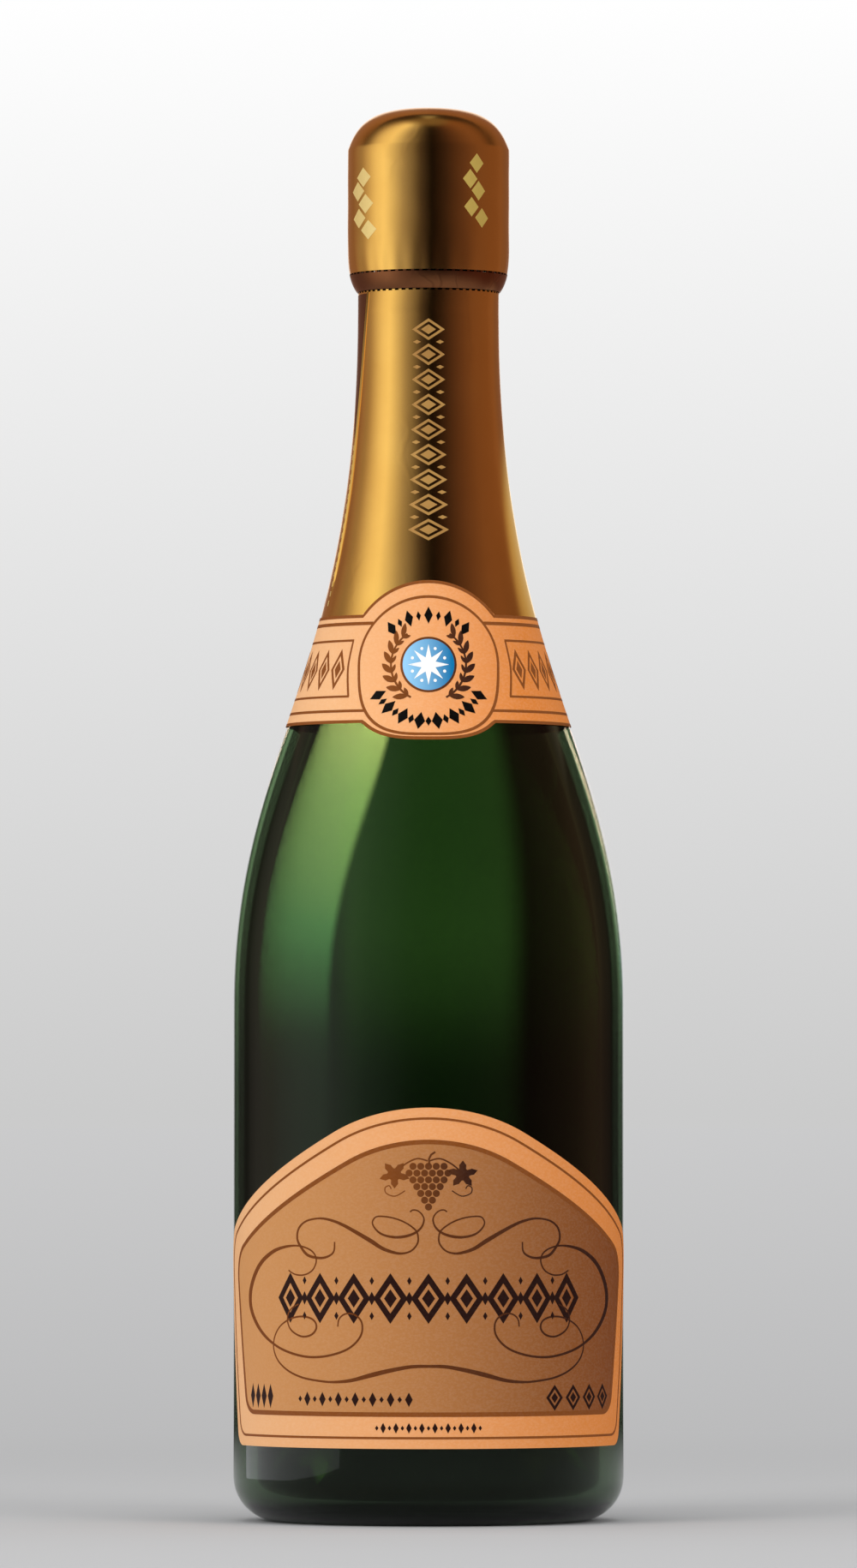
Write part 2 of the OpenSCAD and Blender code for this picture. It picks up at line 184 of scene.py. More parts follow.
@dataclass(frozen=True)
class Shape:
    """The bottle's outline, in millimetres, with the values that the CAD source has."""

    body_r: float = 44.0
    body_h: float = 116.0
    wall: float = 5.3
    heel_r: float = 10.0
    punt_h: float = 32.0
    punt_wall: float = 6.0
    bearing_w: float = 4.0
    shoulder_h: float = 156.5
    shoulder_pull: float = 59.5
    neck_pull: float = 84.0
    neck_r: float = 15.8
    neck_bore_r: float = 10.2
    finish_h: float = 23.5
    mouth_r: float = 8.75
    bore_l: float = 26.0
    ring_r: float = 15.2
    ring_h: float = 4.2
    ring_rise: float = 8.5
    groove_r: float = 13.9
    crown_r: float = 14.3
    crown_h: float = 5.0
    fill_depth: float = 79.0
    axis_reach: float = 0.6
    taper_h: float = 8.0

    @property
    def neck_z(self) -> float:
        """Height of the top of the neck."""
        return self.body_h + self.shoulder_h

    @property
    def lip_z(self) -> float:
        """Height of the lip."""
        return self.neck_z + self.finish_h

    @property
    def ring_z(self) -> float:
        """Height of the ring's lower edge."""
        return self.neck_z + self.ring_rise

    @property
    def stand_r(self) -> float:
        """Outer radius of the ring that the bottle stands on."""
        return self.body_r - self.heel_r

    @property
    def punt_r(self) -> float:
        """Inner radius of the ring that the bottle stands on."""
        return self.stand_r - self.bearing_w

    def shoulder(self, gap: float = 0.0, n: int = 64) -> list[Pair]:
        """The shoulder and neck as radius and height, pushed out by a gap."""
        low, high = self.body_r + gap, self.neck_r + gap
        return bezier((low, self.body_h), (low, self.body_h + self.shoulder_pull),
                      (high, self.neck_z - self.neck_pull), (high, self.neck_z), n)

    def finish(self, n: int = 8) -> list[Pair]:
        """The mouth's outside, from the neck to the bore's rim, with n steps in each curve."""
        neck, ring, lip = self.neck_z, self.ring_z, self.lip_z
        groove, crown = self.groove_r, self.crown_r
        return [
            *bezier((self.neck_r, neck), (self.neck_r, neck + 2), (groove, neck + 2), (groove, neck + 4), n),
            (groove, ring), (self.ring_r - 0.3, ring + 0.4), (self.ring_r, ring + 0.8),
            *arc((self.ring_r - 1, ring + self.ring_h - 1), 1, 0, 80, n),
            (crown - 0.9, ring + self.ring_h + 1.4), (crown - 0.9, lip - self.crown_h - 0.8),
            *arc((crown - 1, lip - self.crown_h + 1), 1, -60, 0, n),
            *arc((crown - 2, lip - 2), 2, 0, 90, n),
            *arc((self.mouth_r + 0.8, lip - 0.8), 0.8, 90, 180, n),
        ]

    def punt(self, rise: float, handle: Pair, foot: Pair) -> list[Pair]:
        """A line from the axis over the punt down to its foot.

        Args:
            rise: height of the punt's top on the axis.
            handle: the point that the line bends towards near its foot.
            foot: the lower end.

        Returns:
            The line's points.
        """
        return bezier((0, rise), (self.punt_r * self.axis_reach, rise), handle, foot, 32)

    def inside(self, gap: float = 0.0, n: int = 64) -> list[Pair]:
        """The inside of the glass, from the bore down to the axis over the punt.

        Args:
            gap: distance from the glass.
            n: steps of the shoulder.

        Returns:
            The line as radius and height.
        """
        bore_z = self.lip_z - self.bore_l
        wide, narrow, base = self.body_r - self.wall - gap, self.neck_bore_r - gap, self.wall + gap
        shoulder = bezier((wide, self.body_h), (wide, self.body_h + self.shoulder_pull - self.wall / 2),
                          (narrow, self.neck_z - self.neck_pull), (narrow, bore_z - self.taper_h), n)
        heel = arc((self.stand_r, self.heel_r), self.heel_r - self.wall - gap, 0, -90, 16)
        floor = self.punt(self.punt_h + self.punt_wall + gap, (self.punt_r - 2, base),
                          (self.stand_r - 1, base))
        return [(self.mouth_r - gap, bore_z), *reversed(shoulder), *heel, *reversed(floor)]

    def radius_at(self, z: float) -> float:
        """Outside radius of the glass at a height between the heel and the neck's top."""
        return value_at([(height, r) for r, height in self.shoulder()], z)


# Meshes


def soften(piece: bpy.types.Object, crease: float) -> None:
    """Shades a piece smooth, but for edges sharper than crease in degrees."""
    piece.data.shade_smooth()
    piece.data.set_sharp_from_angle(angle=math.radians(crease))


def mesh_piece(name: str, points: Sequence[Point], faces: Sequence[Sequence[int]],
               material: bpy.types.Material, crease: float | None = None) -> bpy.types.Object:
    """Makes a mesh object at the origin.

    Args:
        name: the piece's name.
        points: the corners, in millimetres.
        faces: the corners of each face.
        material: the finish.
        crease: edges sharper than this many degrees stay crisp; without it, all of them do.

    Returns:
        The object, linked to the scene.
    """
    mesh = bpy.data.meshes.new(name)
    mesh.from_pydata([tuple(c * MM for c in p) for p in points], [], faces)
    mesh.update()
    mesh.materials.append(material)
    piece = bpy.data.objects.new(name, mesh)
    if crease is not None:
        soften(piece, crease)
    bpy.context.scene.collection.objects.link(piece)
    return piece


def lathe(name: str, loop: Sequence[Pair], material: bpy.types.Material, steps: int = 192,
          wobble: Shift | None = None, crease: float = 35.0,
          twist: Callable[[float], float] | None = None) -> bpy.types.Object:
    """Turns a closed loop of radius and height round Z, facing outwards.

    Args:
        name: the piece's name.
        loop: the outline, in millimetres.
        material: the finish.
        steps: segments round the axis.
        wobble: an inward or outward shift for an angle, radius and height.
        crease: edges sharper than this many degrees stay crisp.
        twist: a turn of the columns of faces, in radians, for a height.

    Returns:
        The object.
    """
    clean = [p for i, p in enumerate(loop) if math.dist(p, loop[i - 1]) > 1e-5]
    if sum(a[0] * b[1] - b[0] * a[1] for a, b in sides(clean)) < 0:
        clean.reverse()
    points: list[Point] = []
    rings: list[list[int]] = []
    for r, z in clean:
        if r < 1e-6:
            rings.append([len(points)] * steps)
            points.append((0.0, 0.0, z))
            continue
        rings.append([len(points) + k for k in range(steps)])
        for k in range(steps):
            a = 2 * math.pi * k / steps + (twist(z) if twist else 0.0)
            points.append(polar(r + (wobble(a, r, z) if wobble else 0.0), a, z))
    faces = []
    for low, high in sides(rings):
        if low[0] == low[1] and high[0] == high[1]:
            continue
        for k in range(steps):
            j = (k + 1) % steps
            corners = [low[k], low[j], high[j], high[k]]
            faces.append([c for i, c in enumerate(corners) if c != corners[i - 1]])
    return mesh_piece(name, points, faces, material, crease)


def ride(piece: bpy.types.Object, body: Body, slot: str, *nodes: str) -> None:
    """Sends a finished piece to its body and logs it.

    Args:
        piece: the piece.
        body: the body that it rides on.
        slot: the record's material slot; not used.
        *nodes: CAD nodes that it replaces.
    """
    if nodes:
        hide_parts(*nodes)
    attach(piece, body.value)
    LOG.info("%s: %d faces on %s", piece.name, len(piece.data.polygons), body.value)


# Node trees


class Graph:
    """A node tree with short calls that add and join nodes."""

    def __init__(self, tree: bpy.types.NodeTree) -> None:
        """Takes a tree."""
        self.tree = tree

    def add(self, kind: str, put: dict | None = None, **settings: object) -> bpy.types.Node:
        """Adds a node.

        Args:
            kind: the node's type.
            put: values or linked sockets for its inputs, by name or index.
            **settings: the node's own properties.

        Returns:
            The node.
        """
        node = self.tree.nodes.new(kind)
        for key, value in settings.items():
            setattr(node, key, value)
        for key, value in (put or {}).items():
            self.feed(node, key, value)
        return node

    def feed(self, node: bpy.types.Node, key: str | int, value: object) -> None:
        """Sets an input of a node, or joins a socket to it.

        Args:
            node: the node.
            key: the input's name or index.
            value: a socket, a number, a vector or a colour.
        """
        target = node.inputs[key]
        if isinstance(value, bpy.types.NodeSocket):
            self.tree.links.new(value, target)
        elif target.type == "RGBA":
            target.default_value = (*value, 1.0)
        else:
            target.default_value = value

    def place(self) -> bpy.types.NodeSocket:
        """The place on the piece, in its own coordinates."""
        return self.add("ShaderNodeTexCoord").outputs["Object"]

    def axes(self, vector: object) -> Sequence[bpy.types.NodeSocket]:
        """Parts a vector into its x, y and z."""
        return self.add("ShaderNodeSeparateXYZ", {0: vector}).outputs

    def math(self, op: str, a: object, b: object = 0.0, c: object = 0.0) -> bpy.types.NodeSocket:
        """Works out a value from up to three others."""
        return self.add("ShaderNodeMath", {0: a, 1: b, 2: c}, operation=op).outputs[0]

    def vector(self, op: str, put: dict, out: int = 0) -> bpy.types.NodeSocket:
        """Works out a vector from its inputs, or with out at 1 a value."""
        return self.add("ShaderNodeVectorMath", put, operation=op).outputs[out]

    def noise(self, place: object, scale: object, detail: object,
              **more: object) -> Sequence[bpy.types.NodeSocket]:
        """Cloudy noise: its value and its colour."""
        put = {"Vector": place, "Scale": scale, "Detail": detail, **more}
        return self.add("ShaderNodeTexNoise", put).outputs

    def cells(self, place: object, scale: object,
              feature: str = "F1") -> Sequence[bpy.types.NodeSocket]:
        """Cells with their distance and colour."""
        return self.add("ShaderNodeTexVoronoi", {"Vector": place, "Scale": scale}, feature=feature).outputs

    def stretch(self, place: object, scale: Point) -> bpy.types.NodeSocket:
        """Scales a place, which draws a pattern out where the scale is small."""
        return self.add("ShaderNodeMapping", {"Vector": place, "Scale": scale}).outputs[0]

    def ramp(self, value: object, low: float, high: float, to_low: float = 0.0,
             to_high: float = 1.0, way: str = "SMOOTHSTEP") -> bpy.types.NodeSocket:
        """Maps a value between two limits to a value between two others."""
        put = {0: value, 1: low, 2: high, 3: to_low, 4: to_high}
        return self.add("ShaderNodeMapRange", put, interpolation_type=way).outputs[0]

    def mix(self, share: object, a: object, b: object) -> bpy.types.NodeSocket:
        """Mixes two colours."""
        return self.add("ShaderNodeMix", {0: share, 6: a, 7: b}, data_type="RGBA").outputs[2]

    def stops(self, value: object, stops: Sequence[tuple[float, Colour]]) -> bpy.types.NodeSocket:
        """Turns a value into a colour.

        Args:
            value: the value, from 0 to 1.
            stops: places, each with its colour, in order.

        Returns:
            The colour.
        """
        ramp = self.add("ShaderNodeValToRGB", {0: value})
        bars = ramp.color_ramp.elements
        for bar, (spot, colour) in zip(list(bars), (stops[0], stops[-1])):
            bar.position, bar.color = spot, (*colour, 1)
        for spot, colour in stops[1:-1]:
            bars.new(spot).color = (*colour, 1)
        return ramp.outputs[0]


Given = Sequence[bpy.types.NodeSocket]
Sockets = dict[str, bpy.types.NodeSocket]


class Effects:
    """The effects that several finishes share, each built once as a node group.

    Each effect's method takes the group's graph, the place on the piece and the group's
    inputs, and gives back the group's outputs.
    """

    def __init__(self) -> None:
        """Builds the groups, each with the first values of its inputs."""
        self.mottle = self.group("Soft mottling", self.cloud, Scale=40.0, Detail=3.0)
        self.marks = self.group("Handling marks", self.rubs, Scale=300.0, Amount=1.0)
        # painted light and shade: a side to side mask that lets prints run from a lit tone at -X to a shaded
        # tone at +X
        self.fade = self.group("Painted side light and shade", self.across, Half_width=0.044)
        self.creases = self.group("Foil creases", self.folds, Scale=90.0, Stretch=0.35, Grain=2600.0)
        self.fibres = self.group("Paper fibres", self.hairs, Scale=900.0)
        self.granules = self.group("Cork granules", self.bits, Scale=420.0)

    @staticmethod
    def group(name: str, fill: Callable[[Graph, object, Given], Sockets],
              **inputs: float) -> bpy.types.NodeTree:
        """Builds one group.

        Args:
            name: the group's name.
            fill: the effect's method.
            **inputs: each input's first value, with _ for a space.

        Returns:
            The group.
        """
        tree = bpy.data.node_groups.new(name, "ShaderNodeTree")
        for key, value in inputs.items():
            socket = tree.interface.new_socket(
                key.replace("_", " "), in_out="INPUT", socket_type="NodeSocketFloat")
            socket.default_value = value
        g = Graph(tree)
        done = fill(g, g.place(), g.add("NodeGroupInput").outputs)
        for key in done:
            tree.interface.new_socket(key, in_out="OUTPUT", socket_type="NodeSocketFloat")
        g.add("NodeGroupOutput", done)
        return tree

    @staticmethod
    def cloud(g: Graph, place: object, given: Given) -> Sockets:
        """Soft cloudy variation, as a mask."""
        return {"Mask": g.ramp(g.noise(place, given["Scale"], given["Detail"])[0], 0.3, 0.7)}

    @staticmethod
    def rubs(g: Graph, place: object, given: Given) -> Sockets:
        """Handling marks: fine upright rubs broken up by soft patches, as a mask."""
        rubs = g.noise(g.stretch(place, (1.0, 1.0, 0.12)), given["Scale"], 4.0)[0]
        patch = g.noise(place, 28.0, 2.0)[0]
        both = g.math("MULTIPLY", g.ramp(rubs, 0.5, 0.75), g.ramp(patch, 0.45, 0.7))
        return {"Mask": g.math("MULTIPLY", both, given["Amount"])}

    @staticmethod
    def across(g: Graph, place: object, given: Given) -> Sockets:
        """A mask across the piece from its -X side, 0, to its +X side, 1, for painted light and shade from
        side to side.
        """
        share = g.math("DIVIDE", g.axes(place)[0], given["Half width"])
        return {"Mask": g.math("MULTIPLY_ADD", share, 0.5, 0.5)}

    @staticmethod
    def folds(g: Graph, place: object, given: Given) -> Sockets:
        """Fine creases of smoothed foil, as a height and a mask of their lines."""
        reach = g.add("ShaderNodeCombineXYZ", {0: 1.0, 1: 1.0, 2: given["Stretch"]}).outputs[0]
        push = g.vector("SCALE", {0: g.noise(place, 60.0, 3.0)[1], "Scale": 0.012})
        moved = g.vector("ADD", {0: g.vector("MULTIPLY", {0: place, 1: reach}), 1: push})
        edge = g.cells(moved, given["Scale"], "DISTANCE_TO_EDGE")["Distance"]
        waves = g.noise(place, 45.0, 2.0)[0]
        soft = g.math("MULTIPLY", g.ramp(edge, 0.0, 0.06, 1.0, 0.0), g.ramp(waves, 0.4, 0.7))
        height = g.math("MULTIPLY_ADD", waves, 0.9, g.math("MULTIPLY", soft, 0.25))
        grain = g.cells(place, given["Grain"])["Distance"]
        return {"Height": g.math("MULTIPLY_ADD", grain, 0.03, height), "Lines": soft}

    @staticmethod
    def hairs(g: Graph, place: object, given: Given) -> Sockets:
        """Laid paper fibres, as a height and a mask."""
        hairs = g.noise(g.stretch(place, (0.6, 0.6, 1.0)), given["Scale"], 5.0, Roughness=0.65)[0]
        pulp = g.noise(place, 120.0, 4.0)[0]
        return {"Height": g.math("MULTIPLY_ADD", pulp, 0.4, hairs), "Mask": g.ramp(hairs, 0.42, 0.62)}

    @staticmethod
    def bits(g: Graph, place: object, given: Given) -> Sockets:
        """Pressed cork granules: a shade per granule, its gaps and its height."""
        colour = g.cells(place, given["Scale"])["Color"]
        shade = g.add("ShaderNodeSeparateColor", {0: colour}).outputs[0]
        edge = g.cells(place, given["Scale"], "DISTANCE_TO_EDGE")["Distance"]
        grain = g.noise(place, 1800.0, 3.0)[0]
        dark = g.math("MULTIPLY", g.ramp(edge, 0.0, 0.09, 1.0, 0.0), g.ramp(grain, 0.35, 0.6))
        return {
            "Shade": g.math("MULTIPLY_ADD", grain, 0.3, g.math("MULTIPLY", shade, 0.7)),
            "Gaps": dark,
            "Height": g.math("SUBTRACT", g.math("MULTIPLY", grain, 0.3), dark),
        }


class Dress:
    """One material in the making: its graph, its shader and the shared effects."""

    def __init__(self, name: str, effects: Effects) -> None:
        """Starts a material with a Principled shader.

        Args:
            name: the material's name.
            effects: the shared node groups.
        """
        self.material = bpy.data.materials.new(name)
        self.material.use_nodes = True
        self.graph = Graph(self.material.node_tree)
        self.shader = self.material.node_tree.nodes["Principled BSDF"]
        self.effects = effects

    def set(self, **values: object) -> None:
        """Sets inputs of the shader, with _ for a space in each name."""
        for key, value in values.items():
            self.graph.feed(self.shader, key.replace("_", " "), value)

    def use(self, group: bpy.types.NodeTree, **values: float) -> Given:
        """Places a shared effect with its own values and returns its outputs."""
        put = {key.replace("_", " "): value for key, value in values.items()}
        return self.graph.add("ShaderNodeGroup", put, node_tree=group).outputs

    def bump(self, height: object, depth: float, strength: float = 1.0) -> None:
        """Feeds a height to the shader's normal, where a height of 1 is depth in metres."""
        put = {"Height": height, "Distance": depth, "Strength": strength}
        self.set(Normal=self.graph.add("ShaderNodeBump", put).outputs[0])


class Finish:
    """A look that a material is made from. Each kind has a name and puts itself on."""

    def make(self, effects: Effects) -> bpy.types.Material:
        """Builds the material from the shared effects."""
        dress = Dress(self.name, effects)
        self.put_on(dress, dress.graph, effects)
        return dress.material


@dataclass(frozen=True)
class GreenGlass(Finish):
    """Bottle glass: green, darkened low down as painted shade, with faint waves and handling marks."""

    name: str = "Green glass"
    clear: Colour = (0.17, 0.3, 0.14)
    deep: Colour = (0.15, 0.275, 0.125)
    # painted shade: the darker green that the glass takes below low_z, for light that fades down the bottle
    low: Colour = (0.07, 0.12, 0.065)
    low_z: Pair = (0.095, 0.135)
    gloss: Colour = (0.38, 0.45, 0.36)

    def put_on(self, d: Dress, g: Graph, fx: Effects) -> None:
        """Mixes the greens by cloud, darkens them low down by height as painted shade, and bends the surface
        a little.
        """
        cloud = d.use(fx.mottle, Scale=22.0, Detail=1.0)["Mask"]
        marks = d.use(fx.marks, Scale=260.0)["Mask"]
        # painted shade: the glass turns to the low green below 95 mm, blending up to 135 mm
        rise = g.ramp(g.axes(g.place())[2], *self.low_z)
        d.set(Base_Color=g.mix(rise, self.low, g.mix(cloud, self.clear, self.deep)),
              Roughness=g.ramp(marks, 0.0, 1.0, 0.0, 0.03), IOR=1.52,
              Transmission_Weight=1.0, Specular_Tint=self.gloss)
        d.bump(cloud, 0.00005, 0.1)


@dataclass(frozen=True)
class PaleWine(Finish):
    """The wine: pale gold, a little deeper towards the base."""

    name: str = "Pale wine"
    top: Colour = (0.97, 0.93, 0.72)
    base: Colour = (0.93, 0.86, 0.6)

    def put_on(self, d: Dress, g: Graph, fx: Effects) -> None:
        """Mixes the two golds by height."""
        rise = g.ramp(g.axes(g.place())[2], 0.0, 0.2)
        d.set(Base_Color=g.mix(rise, self.base, self.top), Roughness=0.0, IOR=1.34,
              Transmission_Weight=1.0)


@dataclass(frozen=True)
class PressedCork(Finish):
    """Cork: pressed granules, or streaked natural cork where streaks is set."""

    name: str
    light: Colour
    dark: Colour
    gap: Colour
    granule: float
    streaks: bool = False

    def put_on(self, d: Dress, g: Graph, fx: Effects) -> None:
        """Shades each granule, then lays streaks and dark gaps over it."""
        bits = d.use(fx.granules, Scale=self.granule)
        body = g.mix(bits["Shade"], self.dark, self.light)
        if self.streaks:
            body = g.mix(d.use(fx.fibres, Scale=240.0)["Mask"], body, self.light)
        d.set(Base_Color=g.mix(bits["Gaps"], body, self.gap),
              Roughness=g.ramp(bits["Shade"], 0.0, 1.0, 0.8, 0.92))
        d.bump(bits["Height"], 0.00025, 0.8)


@dataclass(frozen=True)
class Metal(Finish):
    """Foil, wire, tin or metallic print: two tones with creases, grain and rubbed patches, and painted shade
    along the creases.
    """

    name: str
    light: Colour
    dark: Colour
    smooth: float
    rough: float
    crease: float = 0.0
    crease_scale: float = 90.0
    press: float = 1.0
    metallic: float = 1.0
    coat: float = 0.0

    def put_on(self, d: Dress, g: Graph, fx: Effects) -> None:
        """Darkens clouds, and the lines of the creases as painted shade, and roughens rubs and the crease
        lines.
        """
        cloud = d.use(fx.mottle, Scale=70.0, Detail=4.0)["Mask"]
        marks = d.use(fx.marks, Scale=500.0)["Mask"]
        fold = d.use(fx.creases, Scale=self.crease_scale)
        # painted shade: the crease lines pull the colour towards the dark tone, on top of the random clouds
        shade = g.math("MULTIPLY_ADD", cloud, 0.6, g.math("MULTIPLY", fold["Lines"], 0.4))
        worn = g.math("MAXIMUM", marks, fold["Lines"])
        d.set(Base_Color=g.mix(shade, self.light, self.dark), Metallic=self.metallic,
              Roughness=g.ramp(worn, 0.0, 1.0, self.smooth, self.rough),
              Coat_Weight=self.coat, Coat_Roughness=0.08)
        d.bump(fold["Height"], self.crease, self.press)


@dataclass(frozen=True)
class Printed(Finish):
    """Paper or ink: fades from its left tone to its right tone, over paper fibres; the lighter left and
    darker right are painted light and shade.
    """

    name: str
    left: str
    right: str
    roughness: float = 0.6
    fibre: float = 0.12
    half_width: float = 0.044
    coat: float = 0.0
    depth: float = 0.000014
    sheen: float = 0.1
    pale: Colour = (1.0, 0.9, 0.75)

    def put_on(self, d: Dress, g: Graph, fx: Effects) -> None:
        """Fades the tone from side to side, as painted light on the -X side and painted shade on the +X
        side, and lets pale fibres show in it.
        """
        # painted light and shade: the left tone is the lit side at -X, the right tone the shaded side at +X
        side = d.use(fx.fade, Half_width=self.half_width)["Mask"]
        paper = d.use(fx.fibres, Scale=2200.0)
        shown = g.math("MULTIPLY", paper["Mask"], self.fibre)
        d.set(Base_Color=g.mix(shown, g.mix(side, tint(self.left), tint(self.right)), self.pale),
              Roughness=g.ramp(paper["Mask"], 0.0, 1.0, self.roughness - 0.06, self.roughness + 0.06),
              Specular_IOR_Level=self.sheen, Coat_Weight=self.coat, Coat_Roughness=0.15)
        d.bump(paper["Height"], self.depth)


class Look(Enum):
    """Every finish of the bottle and its dressing."""

    GLASS = GreenGlass()
    WINE = PaleWine()
    CORK = PressedCork("Agglomerate cork", (0.62, 0.4, 0.2), (0.33, 0.19, 0.085), (0.1, 0.05, 0.02), 430.0)
    CORK_DISC = PressedCork(
        "Natural cork", (0.66, 0.44, 0.23), (0.45, 0.27, 0.12), (0.16, 0.08, 0.035), 260.0, True)
    WIRE = Metal("Cage wire", (0.72, 0.71, 0.68), (0.52, 0.5, 0.47), 0.26, 0.5, 0.00004)
    TIN = Metal("Cap tin", (0.83, 0.6, 0.25), (0.7, 0.47, 0.17), 0.2, 0.36, 0.00003, coat=0.6)
    FOIL = Metal("Bronze foil", (0.9, 0.54, 0.13), (0.82, 0.47, 0.105), 0.17, 0.26, 0.0002, 60.0, 0.3)
    FOIL_DARK = Metal("Dark foil", (0.26, 0.1, 0.04), (0.14, 0.055, 0.025), 0.28, 0.4, 0.00012, 150.0)
    FOIL_GOLD = Metal("Gold foil", (0.93, 0.68, 0.28), (0.8, 0.54, 0.18), 0.24, 0.36, 0.00008, 150.0)
    GILT = Metal("Gilt print", (0.86, 0.66, 0.25), (0.8, 0.58, 0.2), 0.3, 0.45, 0.00003, metallic=0.3)
    # painted shade: a darker copy of the gilt print, for the hood lozenges on the shaded right side
    GILT_PAINTED_SHADE = Metal(
        "Gilt print with painted shade", (0.62, 0.45, 0.1), (0.54, 0.37, 0.08), 0.3, 0.45, 0.00003, metallic=0.3)
    COPPER = Metal(
        "Copper print", (0.75, 0.42, 0.12), (0.52, 0.25, 0.07), 0.3, 0.42, 0.00004, metallic=0.45)
    # painted light and shade: where a print's two tones differ, the left one is the lit tone and the right
    # one the shaded tone
    PAPER = Printed("Apricot paper", "EDB480", "DD8236", 0.55, 0.05)
    COLLAR_PAPER = Printed("Collar paper", "EDB480", "DD8236", 0.55, 0.05, 0.022)
    PANEL = Printed("Bronze panel", "D0935A", "7C3F14", 0.5, 0.03)
    BROWN = Printed("Brown ink", "84481A", "84481A", 0.5, 0.012)
    SCROLL = Printed("Scroll ink", "7A4015", "2A130E", 0.5, 0.006)
    DARK = Printed("Dark ink", "26100B", "26100B", 0.5, 0.004)
    BLACK = Printed("Black ink", "0A0806", "0A0806", 0.45, 0.003)
    EMBLEM = Printed("Emblem ink", "84481A", "2A130E", 0.5, 0.006, 0.011)
    BLUE = Printed("Blue enamel", "92C8EC", "0070A6", 0.35, 0.004, 0.0052, 0.15)
    WHITE = Printed("White ink", "F4F1EC", "F4F1EC", 0.4, 0.02)


Finishes = dict[Look, bpy.types.Material]


def all_finishes() -> Finishes:
    """Builds the shared effects once, and every material from them."""
    effects = Effects()
    return {look: look.value.make(effects) for look in Look}


# Wires and repeats, as Geometry Nodes


class NodeTree:
    """A Geometry Nodes tree with named inputs, run on points and then removed."""

    def __init__(self, name: str, **inputs: tuple[str, object]) -> None:
        """Starts the tree.

        Args:
            name: the tree's name.
            **inputs: each input's kind of socket and first value.
        """
        self.tree = bpy.data.node_groups.new(name, "GeometryNodeTree")
        self.keys: dict[str, str] = {}
        kinds = {"Geometry": ("Geometry", None), "Material": ("Material", None), **inputs}
        for key, (kind, value) in kinds.items():
            socket = self.tree.interface.new_socket(
                key, in_out="INPUT", socket_type=f"NodeSocket{kind}")
            self.keys[key] = socket.identifier
            if value is not None:
                socket.default_value = value
        self.tree.interface.new_socket(
            "Geometry", in_out="OUTPUT", socket_type="NodeSocketGeometry")
        self.graph = Graph(self.tree)
        self.given = self.graph.add("NodeGroupInput").outputs

    def close(self, geometry: bpy.types.NodeSocket) -> None:
        """Ends the tree: real geometry with the piece's material."""
        real = self.graph.add("GeometryNodeRealizeInstances", {0: geometry}).outputs[0]
        dressed = self.graph.add(
            "GeometryNodeSetMaterial", {"Geometry": real, "Material": self.given["Material"]})
        self.graph.add("NodeGroupOutput", {0: dressed.outputs[0]})

    def run(self, name: str, points: Sequence[Point], edges: Sequence[tuple[int, int]],
            material: bpy.types.Material, **values: object) -> bpy.types.Object:
        """Runs the tree on points and edges, and keeps the result as a plain mesh.

        Args:
            name: the piece's name.
            points: the points, in millimetres.
            edges: pairs of points that are joined.
            material: the finish.
            **values: the tree's inputs.

        Returns:
            The finished object.
        """
        mesh = bpy.data.meshes.new(name)
        mesh.from_pydata([tuple(c * MM for c in p) for p in points], edges, [])
        piece = bpy.data.objects.new(name, mesh)
        bpy.context.scene.collection.objects.link(piece)
        step = piece.modifiers.new("Nodes", "NODES")
        step.node_group = self.tree
        for key, value in {"Material": material, **values}.items():
            step[self.keys[key]] = value
        graph = bpy.context.evaluated_depsgraph_get()
        done = bpy.data.meshes.new_from_object(piece.evaluated_get(graph))
        piece.modifiers.remove(step)
        piece.data = done
        done.name = name
        return piece


def wire_tree() -> NodeTree:
    """A tree that lays a round wire along joined points."""
    tree = NodeTree("Bent wire", Radius=("Float", 0.00035), Sides=("Int", 10))
    g, given = tree.graph, tree.given
    line = g.add("GeometryNodeMeshToCurve", {0: given["Geometry"]}).outputs[0]
    ring = g.add("GeometryNodeCurvePrimitiveCircle",
                 {"Resolution": given["Sides"], "Radius": given["Radius"]}).outputs[0]
    tube = g.add("GeometryNodeCurveToMesh", {"Curve": line, "Profile Curve": ring, "Fill Caps": True})
    tree.close(tube.outputs[0])
    return tree


def bridge_tree() -> NodeTree:
    """A tree that sets a small bar of foil on each point, turned to face the axis."""
    tree = NodeTree("Foil bridges", Size=("Vector", (0.0007, 0.00012, 0.0005)))
    g, given = tree.graph, tree.given
    bar = g.add("GeometryNodeMeshCube", {"Size": given["Size"]}).outputs[0]
    place = g.add("GeometryNodeInputPosition").outputs[0]
    flat = g.vector("MULTIPLY", {0: place, 1: (1.0, 1.0, 0.0)})
    turn = g.add("FunctionNodeAlignRotationToVector", {"Vector": flat}, axis="Y", pivot_axis="Z")
    put = {"Points": given["Geometry"], "Instance": bar, "Rotation": turn.outputs[0]}
    tree.close(g.add("GeometryNodeInstanceOnPoints", put).outputs[0])
    return tree


# Sub-assemblies


@dataclass
class Part:
    """What each sub-assembly is built from."""

    shape: Shape
    finishes: Finishes


